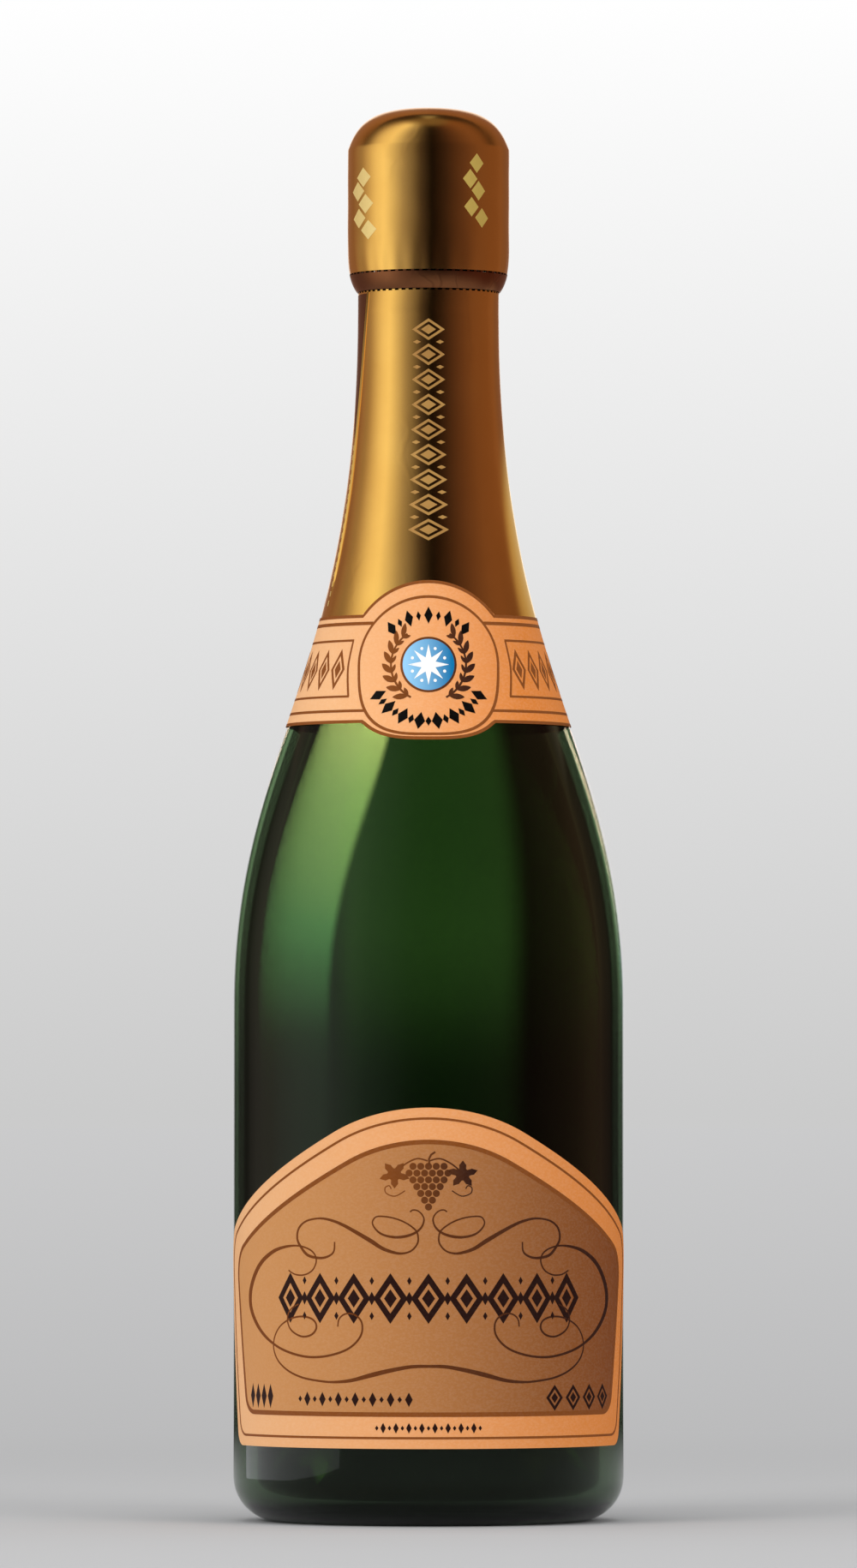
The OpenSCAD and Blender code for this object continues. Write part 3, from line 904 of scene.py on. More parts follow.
@dataclass
class GlassAndWine(Part):
    """The glass bottle and the wine in it."""

    wine_gap: float = 0.05
    meniscus: float = 0.6

    def build_glass(self) -> None:
        """Turns the glass: punt, heel, wall, shoulder, mouth, bore and inside."""
        s = self.shape
        loop = [*s.punt(s.punt_h, (s.punt_r - 7, 3), (s.punt_r, 0)), (s.stand_r, 0),
                *arc((s.stand_r, s.heel_r), s.heel_r, -90, 0, 20),
                *s.shoulder(), *s.finish(), *s.inside()]
        ride(lathe("glass", loop, self.finishes[Look.GLASS], 256, crease=50),
             Body.BOTTLE, "glass", "glass_bottle")

    def build_wine(self) -> None:
        """Turns the wine, with its edge drawn up the glass."""
        top = self.shape.lip_z - self.shape.fill_depth
        inside = [p for p in self.shape.inside(self.wine_gap) if p[1] < top - 0.1]
        rim = inside[0][0] - 0.02
        drawn = [(rim - d, top - self.meniscus * (1 - math.exp(-d))) for d in (4.0, 2.2, 1.3, 0.7, 0.3)]
        loop = [*inside, (0.0, top - self.meniscus), *drawn, (rim, top)]
        ride(lathe("wine-fill", loop, self.finishes[Look.WINE]), Body.BOTTLE, "wine", "wine")

    def build(self) -> None:
        """Builds both."""
        self.build_glass()
        self.build_wine()


@dataclass
class Cork(Part):
    """The mushroom cork: agglomerate body and two natural discs."""

    gap: float = 0.05
    length: float = 25.0
    head_r: float = 15.1
    head_h: float = 20.0
    edge_r: float = 5.0
    disc_h: float = 5.5
    seam: float = 0.12
    worn: float = 0.6

    @property
    def top(self) -> float:
        """Height of the cork's top."""
        return self.shape.lip_z + self.head_h

    @property
    def edge(self) -> Pair:
        """Middle of the rounded top edge."""
        return (self.head_r - self.edge_r, self.top - self.edge_r)

    def build(self) -> None:
        """Turns the body and the discs, with worn edges where they are glued."""
        lip, crown = self.shape.lip_z, self.shape.crown_r
        r, seam = self.shape.mouth_r - self.gap, self.seam
        end = lip - self.length
        glue = end + 2 * self.disc_h
        body = [
            (0, glue), (r - seam, glue), (r, glue + seam), (r, lip + 0.05),
            *bezier((crown - 2, lip + 0.05), (crown, lip + 0.05),
                    (self.head_r, lip + 1.5), (self.head_r, lip + 4), 10),
            *arc(self.edge, self.edge_r, 0, 90, 12), (0, self.top),
        ]
        ride(lathe("cork", body, self.finishes[Look.CORK], 128, self.dent), Body.CORK, "cork", "cork_body")
        for name, low, bevel in (("upper", end + self.disc_h, seam), ("lower", end, self.worn)):
            high = low + self.disc_h
            loop = [(0, low), (r - bevel, low), (r, low + bevel),
                    (r, high - seam), (r - seam, high), (0, high)]
            ride(lathe(f"cork-disc-{name}", loop, self.finishes[Look.CORK_DISC], 96),
                 Body.CORK, "cork_disc", f"cork_disc_{name}")

    def dent(self, a: float, r: float, z: float) -> float:
        """Slight dents of the head, where the cork has set under the wires.

        Args:
            a: angle round the axis, in radians.
            r: radius.
            z: height.

        Returns:
            The shift of the radius.
        """
        if z < self.shape.lip_z + 2 or r < 4:
            return 0.0
        return -0.05 - 0.04 * math.cos(4 * (a - math.pi / 4)) - 0.02 * math.sin(7 * a + z)


@dataclass
class Cage(Part):
    """The wire cage: cap, frame with twisted legs, belt, stub and pull loop."""

    cork: Cork
    wires: NodeTree
    wire_d: float = 0.7
    belt_d: float = 0.6
    legs: int = 4
    turns: int = 5
    cap_t: float = 0.25
    cap_dome: float = 0.8
    room: float = 0.08
    skin: float = 0.02
    loop_l: float = 10.5
    loop_w: float = 6.4
    stem: float = 3.0
    corner: float = 9.0
    crest_in: float = 1.45
    sides: int = 12

    def __post_init__(self) -> None:
        """Works out where the wires run."""
        s, c = self.shape, self.cork
        self.belt_z = s.ring_z - 0.55
        self.bend = (self.belt_d + self.wire_d) / 2 + self.skin
        self.eye_r = s.ring_r + self.room + self.wire_d / 2 + self.bend
        self.half = self.wire_d / 2 + 0.015
        self.leg_top = (c.head_r + self.room + self.half + self.wire_d / 2, c.edge[1] - 2)
        self.crest_r = c.edge_r + 0.1 + self.cap_t + self.skin + self.wire_d / 2
        self.crest = math.degrees(math.acos(self.crest_in / self.crest_r))
        self.lead = self.corner + math.degrees(math.atan(self.half / self.leg_top[0]))
        self.belt_in = s.groove_r + self.belt_d / 2 + 0.15
        self.fold = (s.ring_r + self.belt_d + 0.15, self.belt_z + 0.15)

    def lay(self, name: str, points: Sequence[Point], edges: Sequence[tuple[int, int]],
            thick: float, body: Body, node: str) -> None:
        """Lays a wire along joined points and sends it to its body.

        Args:
            name: the piece's name.
            points: the points, in millimetres.
            edges: pairs of points that are joined.
            thick: the wire's thickness.
            body: the body that it rides on.
            node: the CAD node that it replaces.
        """
        wire = self.wires.run(name, points, edges, self.finishes[Look.WIRE],
                              Radius=thick / 2 * MM, Sides=self.sides)
        soften(wire, 50)
        ride(wire, body, "wire", node)

    def strand(self, side: int) -> list[Point]:
        """One strand of a leg, from under the belt to the cap's crest.

        Args:
            side: 1 or -1.

        Returns:
            Its points, for the leg on +X.
        """
        out: list[Point] = []
        for i in range(8):
            a = math.radians(-90 + side * 90 * i / 8)
            out.append((self.eye_r + self.bend * math.cos(a), 0.0, self.belt_z + self.bend * math.sin(a)))
        n = 20 * self.turns
        for i in range(n + 1):
            t = i / n
            z = self.belt_z + 0.6 + (self.leg_top[1] - self.belt_z - 0.6) * t
            r = self.eye_r + (self.leg_top[0] - self.eye_r) * t
            k = min(1.0, t * 7)
            half = self.bend + (self.half - self.bend) * k * k * (3 - 2 * k)
            twist = (360 * self.turns + 90) * max(0.0, (t - 0.06) / 0.94)
            a = math.radians(twist + (0 if side > 0 else 180))
            out.append((r + half * math.cos(a), half * math.sin(a), z))
        x, z = self.cork.edge
        for i in range(1, 17):
            t = i / 16
            a = math.radians(self.crest * t)
            swing = self.lead - self.corner + self.corner * (1 - math.cos(math.radians(90 * t)))
            out.append(turned((x + self.crest_r * math.cos(a), 0.0, z + self.crest_r * math.sin(a)),
                              side * swing))
        return out

    def build_frame(self) -> None:
        """Lays the four legs and the ring over the cap."""
        pitch = 360 / self.legs
        x, z = self.cork.edge
        rise = z + self.crest_r * math.sin(math.radians(self.crest))
        ring = [turned((x + self.crest_in, 0.0, rise), self.lead + (pitch - 2 * self.lead) * i / 12)
                for i in range(1, 12)]
        back = [turned(p, pitch) for p in reversed(self.strand(-1))]
        span = [*self.strand(1), *ring, *back]
        points: list[Point] = []
        edges: list[tuple[int, int]] = []
        for leg in range(self.legs):
            edges += [(len(points) + i, len(points) + i + 1) for i in range(len(span) - 1)]
            points += [turned(p, pitch * (leg + 0.5)) for p in span]
        self.lay("cage-frame", points, edges, self.wire_d, Body.CAGE, "cage_frame")

    def build_belt(self) -> None:
        """Lays the belt, drawn in under the ring between the legs, and its stub."""
        n = 240
        points = []
        for a in (360 * i / n for i in range(n)):
            out = (1 - math.cos(math.radians(self.legs * a))) / 2
            points.append(turned((self.belt_in + (self.eye_r - self.belt_in) * out, 0.0, self.belt_z), a))
        points += [(0.0, -self.belt_in - self.belt_d / 4, self.belt_z),
                   (0.0, -self.fold[0] + 0.4, self.belt_z)]
        edges = [*((i, (i + 1) % n) for i in range(n)), (n, n + 1)]
        self.lay("cage-belt", points, edges, self.belt_d, Body.CAGE, "cage_belt")

    def build_loop(self) -> None:
        """Lays the twisted pull loop, folded up in front of the ring."""
        y, z = self.fold
        half = self.belt_d / 2 + 0.02
        side = []
        for t in (i / 16 for i in range(17)):
            a = 2 * math.pi * t
            side.append((half * math.cos(a), -y - half * math.sin(a), z + 0.45 + (self.stem - 0.45) * t))
        other = [(-p[0], -2 * y - p[1], p[2]) for p in side]
        wide = self.loop_w / 2 - self.belt_d / 2
        rise = self.loop_l - self.belt_d / 2 - self.stem
        for i in range(1, 21):
            a = min(90, 90 * (i - 0.5) / 20 * 8 / 7.75)
            spread = half + (wide - half) * math.sin(math.radians(min(90, 1.6 * a)))
            x = spread * math.cos(math.radians(max(0, a * 2 - 90)))
            up = a / 75 if a < 45 else 0.6 + 0.4 * math.sin(math.radians(2 * a - 90))
            side.append((x, -y, z + self.stem + rise * up))
            other.append((-x, -y, z + self.stem + rise * up))
        path = [*side, *reversed(other[:-1])]
        edges = [(i, i + 1) for i in range(len(path) - 1)]
        self.lay("cage-loop", path, edges, self.belt_d, Body.LOOP, "cage_loop")

    def build_cap(self) -> None:
        """Turns the tin cap that follows the cork's top edge."""
        c, (x, z) = self.cork, self.cork.edge
        r, high, low = c.edge_r + 0.1, 78, 38
        rim = (x + r * math.cos(math.radians(high)), z + r * math.sin(math.radians(high)))
        dome = bezier((0, c.top + self.cap_dome), (x * 0.6, c.top + self.cap_dome),
                      (x - 1, c.top + 0.1), rim, 16)
        loop = [*dome, *arc(c.edge, r, high, low, 12), *arc(c.edge, r + self.cap_t, low, high, 12),
                *reversed([(p[0], p[1] + self.cap_t) for p in dome])]
        ride(lathe("cage-cap", loop, self.finishes[Look.TIN], 128, crease=60), Body.CAGE, "cap", "cage_cap")

    def build(self) -> None:
        """Builds the whole cage."""
        self.build_cap()
        self.build_frame()
        self.build_belt()
        self.build_loop()


@dataclass
class Foil(Part):
    """The capsule: hood, tear strip with its pull tab, and the sleeve on the neck."""

    cork: Cork
    bridges: NodeTree
    thick: float = 0.15
    skin: float = 0.02
    hood_r: float = 18.3
    lip_r: float = 17.85
    room: float = 2.2
    top_h: float = 9.6
    strip_h: float = 4.2
    tear_rise: float = 0.2
    slit: float = 0.35
    count: int = 60
    bridge_w: float = 0.7
    tab_l: float = 11.0
    tab_edge: float = 0.8
    sleeve_end: float = 191.2
    sleeve_t: float = 0.07
    seam_at: float = -154.0
    seam_swing: float = 13.6
    seam_low: float = 240.0
    seam_run: float = 36.8
    lap_deg: float = 34.0
    lap_rise: float = 0.34
    lap_low: float = 204.0
    cap_dome: float = 0.8

    def __post_init__(self) -> None:
        """Works out the heights."""
        self.tear_z = self.shape.ring_z + self.tear_rise
        self.strip_z = self.tear_z - self.strip_h
        self.sleeve_r = self.shape.neck_r + self.skin + self.thick
        self.top_z = self.cork.top + self.cap_dome + self.room
        self.side_z = self.top_z - self.top_h
        low, high = self.strip_z + self.tab_edge, self.tear_z - self.tab_edge
        self.tab_side = [p for p in self.strip_side(0.05 + self.thick, 40) if low <= p[1] <= high]

    def pleat(self, a: float, r: float, z: float) -> float:
        """Shallow pleats, all inwards, that grow towards the hood's lip.

        Args:
            a: angle round the axis, in radians.
            r: radius.
            z: height.

        Returns:
            The shift of the radius.
        """
        share = max(0.0, min(1.0, (self.tear_z + 9 - z) / 9))
        fold = 0.5 + 0.5 * math.sin(26 * a + 1.2 * math.sin(3 * a))
        dents = 0.5 + 0.5 * math.sin(5 * a + 0.35 * z) * math.sin(0.22 * z + 2 * a)
        return -0.07 * share * fold - 0.06 * dents * min(1.0, r / self.hood_r) ** 4

    def build_hood(self) -> None:
        """Turns the hood: side wall and rounded top as one smoothed foil."""
        r, lip, start = self.hood_r, self.tear_z, self.tear_z + 6
        side = [
            *bezier((self.lip_r, lip + self.slit / 2), (r - 0.1, lip + 2), (r, lip + 4), (r, start), 14),
            *[(r, start + (self.side_z - lip - 6) * i / 14) for i in range(1, 15)],
            *bezier((r, self.side_z), (r - 2.4, self.top_z - 2.2), (r * 0.62, self.top_z),
                    (0, self.top_z), 36)[1:],
        ]
        inner = [(max(0.0, x - self.thick), z - (self.thick if z > self.side_z else 0)) for x, z in side]
        hood = lathe("foil-hood", [*side, *reversed(inner)], self.finishes[Look.FOIL], 288, self.pleat, 60)
        ride(hood, Body.HOOD, "foil", "hood_skirt", "hood_top")

    def strip_side(self, gap: float, n: int) -> list[Pair]:
        """The strip's outside, from the sleeve to the hood, pushed out by a gap."""
        mid = (self.sleeve_r + self.lip_r) / 2
        return bezier((self.sleeve_r + gap, self.strip_z), (mid + gap, self.strip_z + self.strip_h * 0.25),
                      (self.lip_r - 0.3 + gap, self.tear_z - self.strip_h * 0.35),
                      (self.lip_r + gap, self.tear_z), n)

    def build_strip(self) -> None:
        """Turns the tear strip, lays its tab and sets its two rows of bridges."""
        low, high = self.strip_z + self.slit / 2, self.tear_z - self.slit / 2
        side = [p for p in self.strip_side(0, 40) if low <= p[1] <= high]
        inner = [(r - self.thick, z) for r, z in side]
        ride(lathe("tear-strip", [*side, *reversed(inner)], self.finishes[Look.FOIL_DARK], 240),
             Body.BOTTLE, "foil_dark", "tear_strip")
        self.build_tab()
        size = (self.bridge_w * MM, (self.thick - 0.03) * MM, (self.slit - 0.03) * MM)
        for name, z, r, slot, look in (
            ("tear-bridges-upper", self.tear_z, self.lip_r, "foil_dark", Look.FOIL_DARK),
            ("tear-bridges-lower", self.strip_z, self.sleeve_r, "foil", Look.FOIL),
        ):
            spots = [polar(r - self.thick / 2 - 0.01, 2 * math.pi * (i + self.bridge_w / 12) / self.count,
                           z - 0.02) for i in range(self.count)]
            ride(self.bridges.run(name, spots, [], self.finishes[look], Size=size), Body.BOTTLE, slot)

    def tab_spot(self, u: float, v: float, rise: float) -> Point:
        """Place on the pull tab of a spot: u from its fixed end, 0, to its free end, 1."""
        side = [(z, r) for r, z in self.tab_side]
        return polar(value_at(side, v) + rise, math.pi / 2 + self.tab_l / self.lip_r * u, v)

    def build_tab(self) -> None:
        """Lays the pull tab on the strip's back: a thin curved strip with a rounded end."""
        middle = (self.tab_side[0][1] + self.tab_side[-1][1]) / 2
        n, m = 40, len(self.tab_side)
        spots = []
        for t in (i / n for i in range(n + 1)):
            squeeze = max(0.12, math.sqrt(1 - max(0.0, (t - 0.86) / 0.14) ** 2) if t < 1 else 0.0)
            spots += [(t, middle + (z - middle) * squeeze) for _, z in self.tab_side]
        corners = [i * m + k for i in range(n) for k in range(m - 1)]
        tab = Ink(self.tab_spot, (-self.thick, 0.0))
        tab.add(spots, [[c, c + m, c + m + 1, c + 1] for c in corners])
        tab.lay("tear-tab", self.finishes[Look.FOIL_GOLD], Body.TAB, "foil_gold", "tear_tab")

    def seam(self, z: float) -> float:
        """Turn of the sleeve's seam at a height, in radians, from its straight line."""
        return math.radians(self.seam_swing * max(0.0, (z - self.seam_low) / self.seam_run) ** 1.7 - 8)

    def overlap(self, a: float, r: float, z: float) -> float:
        """The sleeve's lap: the foil rises over itself up to its seam at the left.

        Args:
            a: angle round the axis, in radians.
            r: radius, which the lap doesn't depend on.
            z: height.

        Returns:
            The shift of the radius.
        """
        turn = (math.degrees(a - self.seam(z)) - self.seam_at + 180) % 360 - 180
        sag = 0.5 + 0.5 * math.sin(3 * a + 0.11 * z) * math.sin(0.17 * z - a)
        rise = max(0.0, (turn + self.lap_deg) / self.lap_deg) if turn < 0.01 else 0.0
        rise *= min(1.0, max(0.0, (z - self.lap_low) / 10)) ** 0.5
        return -0.05 - 0.03 * sag + self.lap_rise * rise * rise

    def build_sleeve(self) -> None:
        """Turns the sleeve, with its lap and its seam."""
        path = [p for p in self.shape.shoulder(self.skin + self.thick, 200) if p[1] >= self.sleeve_end]
        path.append((self.sleeve_r, self.strip_z - self.slit / 2))
        inner = [(r - self.sleeve_t, z) for r, z in path]
        sleeve = lathe("foil-sleeve", [*path, *reversed(inner)], self.finishes[Look.FOIL], 360,
                       self.overlap, 30, self.seam)
        ride(sleeve, Body.BOTTLE, "foil", "foil_sleeve")

    def build(self) -> None:
        """Builds the whole capsule."""
        self.build_hood()
        self.build_strip()
        self.build_sleeve()


# Prints and papers


class Ink:
    """One layer of paper, ink or foil, drawn flat and wrapped round a surface.

    Shapes are drawn in millimetres, u to the right and v up as seen from outside. Each
    becomes a thin closed solid between two rises over the surface.
    """

    def __init__(self, surface: Surface, layer: Pair) -> None:
        """Takes the surface and the layer's two faces.

        Args:
            surface: the place in space for a u, a v and a rise over the surface.
            layer: rises of the underside and of the outside.
        """
        self.surface = surface
        self.low, self.high = layer
        self.flat: list[Pair] = []
        self.faces: list[list[int]] = []

    def add(self, points: Sequence[Pair], faces: Iterable[Sequence[int]]) -> None:
        """Adds a flat mesh and turns each of its faces to the outside.

        Args:
            points: its corners.
            faces: the corners of each face.
        """
        start = len(self.flat)
        self.flat += [(p[0], p[1]) for p in points]
        for face in faces:
            area = sum(p[0] * q[1] - q[0] * p[1] for p, q in sides([points[i] for i in face]))
            self.faces.append([start + i for i in (face if area > 0 else reversed(face))])

    def polygon(self, points: Sequence[Pair], step: float = 1.1) -> None:
        """Adds one small convex shape, as rings of faces round its middle.

        Args:
            points: its corners.
            step: the widest face.
        """
        ring = split(points, lambda p, q: abs(q[0] - p[0]) / step)
        m = len(ring)
        middle = tuple(sum(p[k] for p in ring) / m for k in (0, 1))
        inner = [(p[0] + (middle[0] - p[0]) / 2, p[1] + (middle[1] - p[1]) / 2) for p in ring]
        faces = [[i, (i + 1) % m, m + (i + 1) % m, m + i] for i in range(m)]
        faces += [[m + i, m + (i + 1) % m, 2 * m] for i in range(m)]
        self.add([*ring, *inner, middle], faces)

    def area(self, outline: Sequence[Pair], du: float = 2.0, dv: float = 5.0) -> None:
        """Fills an outline with faces small enough to follow the surface.

        Args:
            outline: the outline's points.
            du: the widest face.
            dv: the tallest face.
        """
        loop = split(outline, lambda p, q: max(abs(q[0] - p[0]) / du, abs(q[1] - p[1]) / dv))
        left, right = min(p[0] for p in loop), max(p[0] for p in loop)
        low, high = min(p[1] for p in loop), max(p[1] for p in loop)
        grid = [(left + i * du + 0.3 * (k % 2), low + k * dv)
                for i in range(1, int((right - left) / du)) for k in range(1, int((high - low) / dv))]
        spots = [Vector(p) for p in (*loop, *(spot for spot in grid if self.holds(loop, spot)))]
        edges = list(sides(range(len(loop))))
        done = delaunay_2d_cdt(spots, edges, [], 1, 1e-6)
        self.add([(v.x, v.y) for v in done[0]], done[2])

    @staticmethod
    def holds(loop: Sequence[Pair], spot: Pair, edge: float = 0.4) -> bool:
        """Whether a spot lies inside a loop, clear of its line.

        Args:
            loop: the loop's points.
            spot: the spot.
            edge: the least distance from the loop's points.

        Returns:
            True where it does.
        """
        inside = False
        for p, q in sides(loop):
            if math.dist(p, spot) < edge:
                return False
            if (p[1] > spot[1]) != (q[1] > spot[1]):
                inside ^= p[0] + (spot[1] - p[1]) * (q[0] - p[0]) / (q[1] - p[1]) > spot[0]
        return inside

    def stroke(self, points: Sequence[Pair], width: float, swell: Sequence[Pair] = (),
               closed: bool = False) -> None:
        """Draws a line.

        Args:
            points: the points that it follows.
            width: its width.
            swell: shares of its length, each with a width there; between them it swells.
            closed: whether it ends where it starts.
        """
        line = [p for i, p in enumerate(points) if i == 0 or math.dist(p, points[i - 1]) > 1e-6]
        n = len(line)
        edges: list[Pair] = []
        for i, p in enumerate(line):
            before = line[i - 1] if i or closed else p
            after = line[(i + 1) % n] if i < n - 1 or closed else p
            length = math.dist(before, after) or 1.0
            wide = value_at(swell, i / (n - 1)) if swell else width
            for way in (wide / 2, -wide / 2):
                edges.append((p[0] - (after[1] - before[1]) / length * way,
                              p[1] + (after[0] - before[0]) / length * way))
        m = 2 * n
        self.add(edges, [[i, i + 1, (i + 3) % m, (i + 2) % m] for i in range(0, m if closed else m - 2, 2)])

    def lozenge(self, u: float, v: float, wide: float, tall: float, turn: float = 0.0) -> None:
        """Draws a lozenge by its half width and half height, turned by some degrees."""
        self.polygon(placed([(wide, 0), (0, tall), (-wide, 0), (0, -tall)], u, v, turn))

    def frame_lozenge(self, u: float, v: float, wide: float, tall: float, line: float) -> None:
        """Draws a lozenge as a line with a smaller solid lozenge in it.

        Args:
            u: its middle across.
            v: its middle up.
            wide: half of its width.
            tall: half of its height.
            line: the line's width.
        """
        share = 1 - line / (wide * tall / math.hypot(wide, tall))
        points: list[Pair] = []
        for size in (1, share):
            ring = [(wide * size, 0), (0, tall * size), (-wide * size, 0), (0, -tall * size)]
            points += placed(split(ring, lambda p, q: wide / 1.1), u, v, 0)
        m = len(points) // 2
        self.add(points, [[i, (i + 1) % m, m + (i + 1) % m, m + i] for i in range(m)])
        self.lozenge(u, v, wide * share * 0.62, tall * share * 0.62)

    def disc(self, u: float, v: float, r: float, n: int = 16) -> None:
        """Draws a small round dot with n corners."""
        self.polygon(arc((u, v), r, 0, 360 * (n - 1) / n, n - 1))

    def leaf(self, u: float, v: float, length: float, wide: float, turn: float) -> None:
        """Draws a pointed leaf from its foot.

        Args:
            u: its foot across.
            v: its foot up.
            length: its length.
            wide: its width.
            turn: its direction, in degrees from +u.
        """
        side = [(length * t, wide / 2 * math.sin(math.pi * t) ** 0.8)
                for t in (0, 0.12, 0.3, 0.5, 0.7, 0.88, 1)]
        self.polygon(placed([*side, *[(x, -y) for x, y in reversed(side[1:-1])]], u, v, turn))

    def mirrored(self) -> None:
        """Adds the mirror image of all that is drawn so far, across u = 0."""
        self.add([(-u, v) for u, v in self.flat], [list(face) for face in self.faces])

    def lay(self, name: str, material: bpy.types.Material, body: Body, slot: str, *nodes: str) -> None:
        """Wraps the layer, closes it with an underside and edges, and sends it to its body.

        Args:
            name: the piece's name.
            material: the finish.
            body: the body that it rides on.
            slot: the record's material slot.
            *nodes: CAD nodes that it replaces.
        """
        n = len(self.flat)
        points = [self.surface(u, v, rise) for rise in (self.high, self.low) for u, v in self.flat]
        faces = [*self.faces, *([n + i for i in reversed(face)] for face in self.faces)]
        once: dict[Pair, Pair] = {}
        for p, q in (edge for face in self.faces for edge in sides(face)):
            if once.pop((min(p, q), max(p, q)), None) is None:
                once[(min(p, q), max(p, q))] = (p, q)
        faces += [[q, p, n + p, n + q] for p, q in once.values()]
        ride(mesh_piece(name, points, faces, material, 40), body, slot, *nodes)


@dataclass
class FrontLabel(Part):
    """The arched front label: paper, bronze panel, border lines and ornament."""

    low_z: float = 17.4
    high_z: float = 93.0
    foot: float = 57.5
    lean: float = 12.0
    slope: float = 28.0
    arch_r: float = 47.0
    paper_layer: Pair = (0.02, 0.075)
    panel_layer: Pair = (0.05, 0.112)
    ink_layer: Pair = (0.06, 0.137)
    edge: tuple = (0, 4, 8)
    line: tuple = (2.4, 4, 8)
    panel: tuple = (7.6, 4.5, 7)
    scrolls: tuple = (
        ("-21.7,63.2 -21.9,61.1 -23.3,60 -25.6,59.6 -28.8,60.2 -30.8,62 -31.9,63.9 -31.4,66.2 "
         "-29.2,67.8 -25.6,68.4 -22.6,68 -19.7,67 -16.3,65.3 -12.9,63.4 -10.3,61.8 -7.7,60.9 "
         "-5.7,60.7 -3.8,61.3 -2.5,62.8 -2.3,64.4 -2.9,65.9 -5.1,67.5 -7.7,68.5 -10.3,68.9 "
         "-11.9,68.7 -12.6,67.5 -11.9,66.1 -10.3,64.9 -7.7,64.3 -5.1,64.5 -2.9,65.3 -1.5,66.6 "
         "-1,68.2 -1.5,69.4 -2.5,70.2 -3.5,70.3 -4.1,69.9",
         ((0, 0.2), (0.12, 0.42), (0.24, 0.25), (0.36, 0.6), (0.46, 0.25), (0.7, 0.2),
          (0.8, 0.4), (0.9, 0.2), (1, 0.2))),
        ("-34.6,56.8 -32.5,55.9 -30,55.8 -27.9,56.6 -26.8,57.9 -26.5,59.4 -27.3,60.8 "
         "-29.2,61.8 -32.1,62.3 -35.7,62 -39.6,61 -44.1,58.7 -47.3,55.8 -49.5,52.2 -49.5,48.7 "
         "-47.3,45.5 -43.5,42.4 -38.6,39.9 -33.8,38.4 -28.8,37.6 -24.1,37.8 -19.7,38.9 "
         "-16.9,40.5 -15.2,42.7 -15,45 -15.9,46.5 -17.6,47.3 -19.4,47.1 -20.6,46 -20.9,44.4",
         ((0, 0.2), (0.28, 0.25), (0.46, 1.0), (0.58, 0.35), (0.75, 0.3), (1, 0.2))),
        ("-31.5,49.3 -33.8,48.2 -34.9,46.4 -34.5,44.4 -33,43 -30.4,42.1 -27.9,42.5 -26.5,43.9 "
         "-26.9,45.5 -28.8,46.4 -31.7,46.5 -34.8,45.7 -37.6,44.1 -39.3,41.8 -39.6,39.3 "
         "-38.1,36.7 -34.8,34.5 -30.4,33 -25.6,32.3 -21.9,32.1 -17.6,32.5 -12.9,33.7 "
         "-8.3,34.8 -3.8,35.6 0,35.7",
         ((0, 0.2), (0.3, 0.3), (0.5, 0.22), (0.78, 0.3), (0.88, 0.65), (1, 0.4))),
    )
    scroll_share: float = 1.6

    def spot(self, u: float, v: float, rise: float) -> Point:
        """Place on the body of a flat spot: u round the glass, v its height."""
        return polar(self.shape.body_r + rise, u / (self.shape.body_r + 0.08) - math.pi / 2, v)

    def lay(self, ink: Ink, name: str, look: Look, *nodes: str) -> None:
        """Sends a layer to the bottle, with the CAD nodes it replaces."""
        ink.lay(name, self.finishes[look], Body.BOTTLE, "label_paper", *nodes)

    def outline(self, inset: float, foot_r: float, corner_r: float) -> list[Pair]:
        """The label's outline, drawn in by an inset.

        Args:
            inset: distance inwards.
            foot_r: rounding of the lower corners.
            corner_r: rounding of the upper corners.

        Returns:
            The closed outline.
        """
        lean, rise = (math.tan(math.radians(d)) for d in (self.lean, self.slope))
        top, base, r = self.high_z - inset, self.low_z + inset, self.arch_r - inset
        arch = (r * math.sin(math.radians(self.slope)),
                top - r * (1 - math.cos(math.radians(self.slope))))
        foot = (self.foot + inset * lean - inset / math.cos(math.radians(self.lean)), base)
        z = (arch[1] + (arch[0] - foot[0] + lean * base) * rise) / (1 + lean * rise)
        corner = (foot[0] + (z - base) * lean, z)
        half = [*self.fillet((0, base), foot, corner, foot_r),
                *self.fillet(foot, corner, arch, corner_r),
                *arc((0, top - r), r, 90 - self.slope, 90, 16)]
        return [*half, *[(-x, y) for x, y in reversed(half) if x > 0.001]]

    @staticmethod
    def fillet(a: Pair, p: Pair, b: Pair, r: float, n: int = 10) -> list[Pair]:
        """Rounds a corner.

        Args:
            a: a point before the corner.
            p: the corner.
            b: a point after it.
            r: the rounding's radius.
            n: its steps.

        Returns:
            The rounding's points.
        """
        u, v = ((Vector(q) - Vector(p)).normalized() for q in (a, b))
        half = math.acos(u.dot(v)) / 2
        c = Vector(p) + (u + v).normalized() * r / math.sin(half)
        first = Vector(p) + u * r / math.tan(half) - c
        last = Vector(p) + v * r / math.tan(half) - c
        start = math.atan2(first.y, first.x)
        sweep = math.atan2(first.x * last.y - first.y * last.x, first.dot(last))
        return arc((c.x, c.y), r, math.degrees(start), math.degrees(start + sweep), n)

    def build_paper(self) -> None:
        """Lays the paper, its bronze panel and its border lines."""
        for name, layer, edge, look, nodes in (
            ("label-paper", self.paper_layer, self.edge, Look.PAPER, ("front_label",)),
            ("label-panel", self.panel_layer, self.panel, Look.PANEL, ()),
        ):
            sheet = Ink(self.spot, layer)
            sheet.area(self.outline(*edge), 1.4, 3.0)
            self.lay(sheet, name, look, *nodes)
        lines = Ink(self.spot, self.ink_layer)
        for edge, width in ((self.line, 0.5), (self.panel, 1.0)):
            dense = split(self.outline(*edge), lambda p, q: math.dist(p, q) / 1.5)
            lines.stroke(dense, width, closed=True)
        self.lay(lines, "label-lines", Look.BROWN)

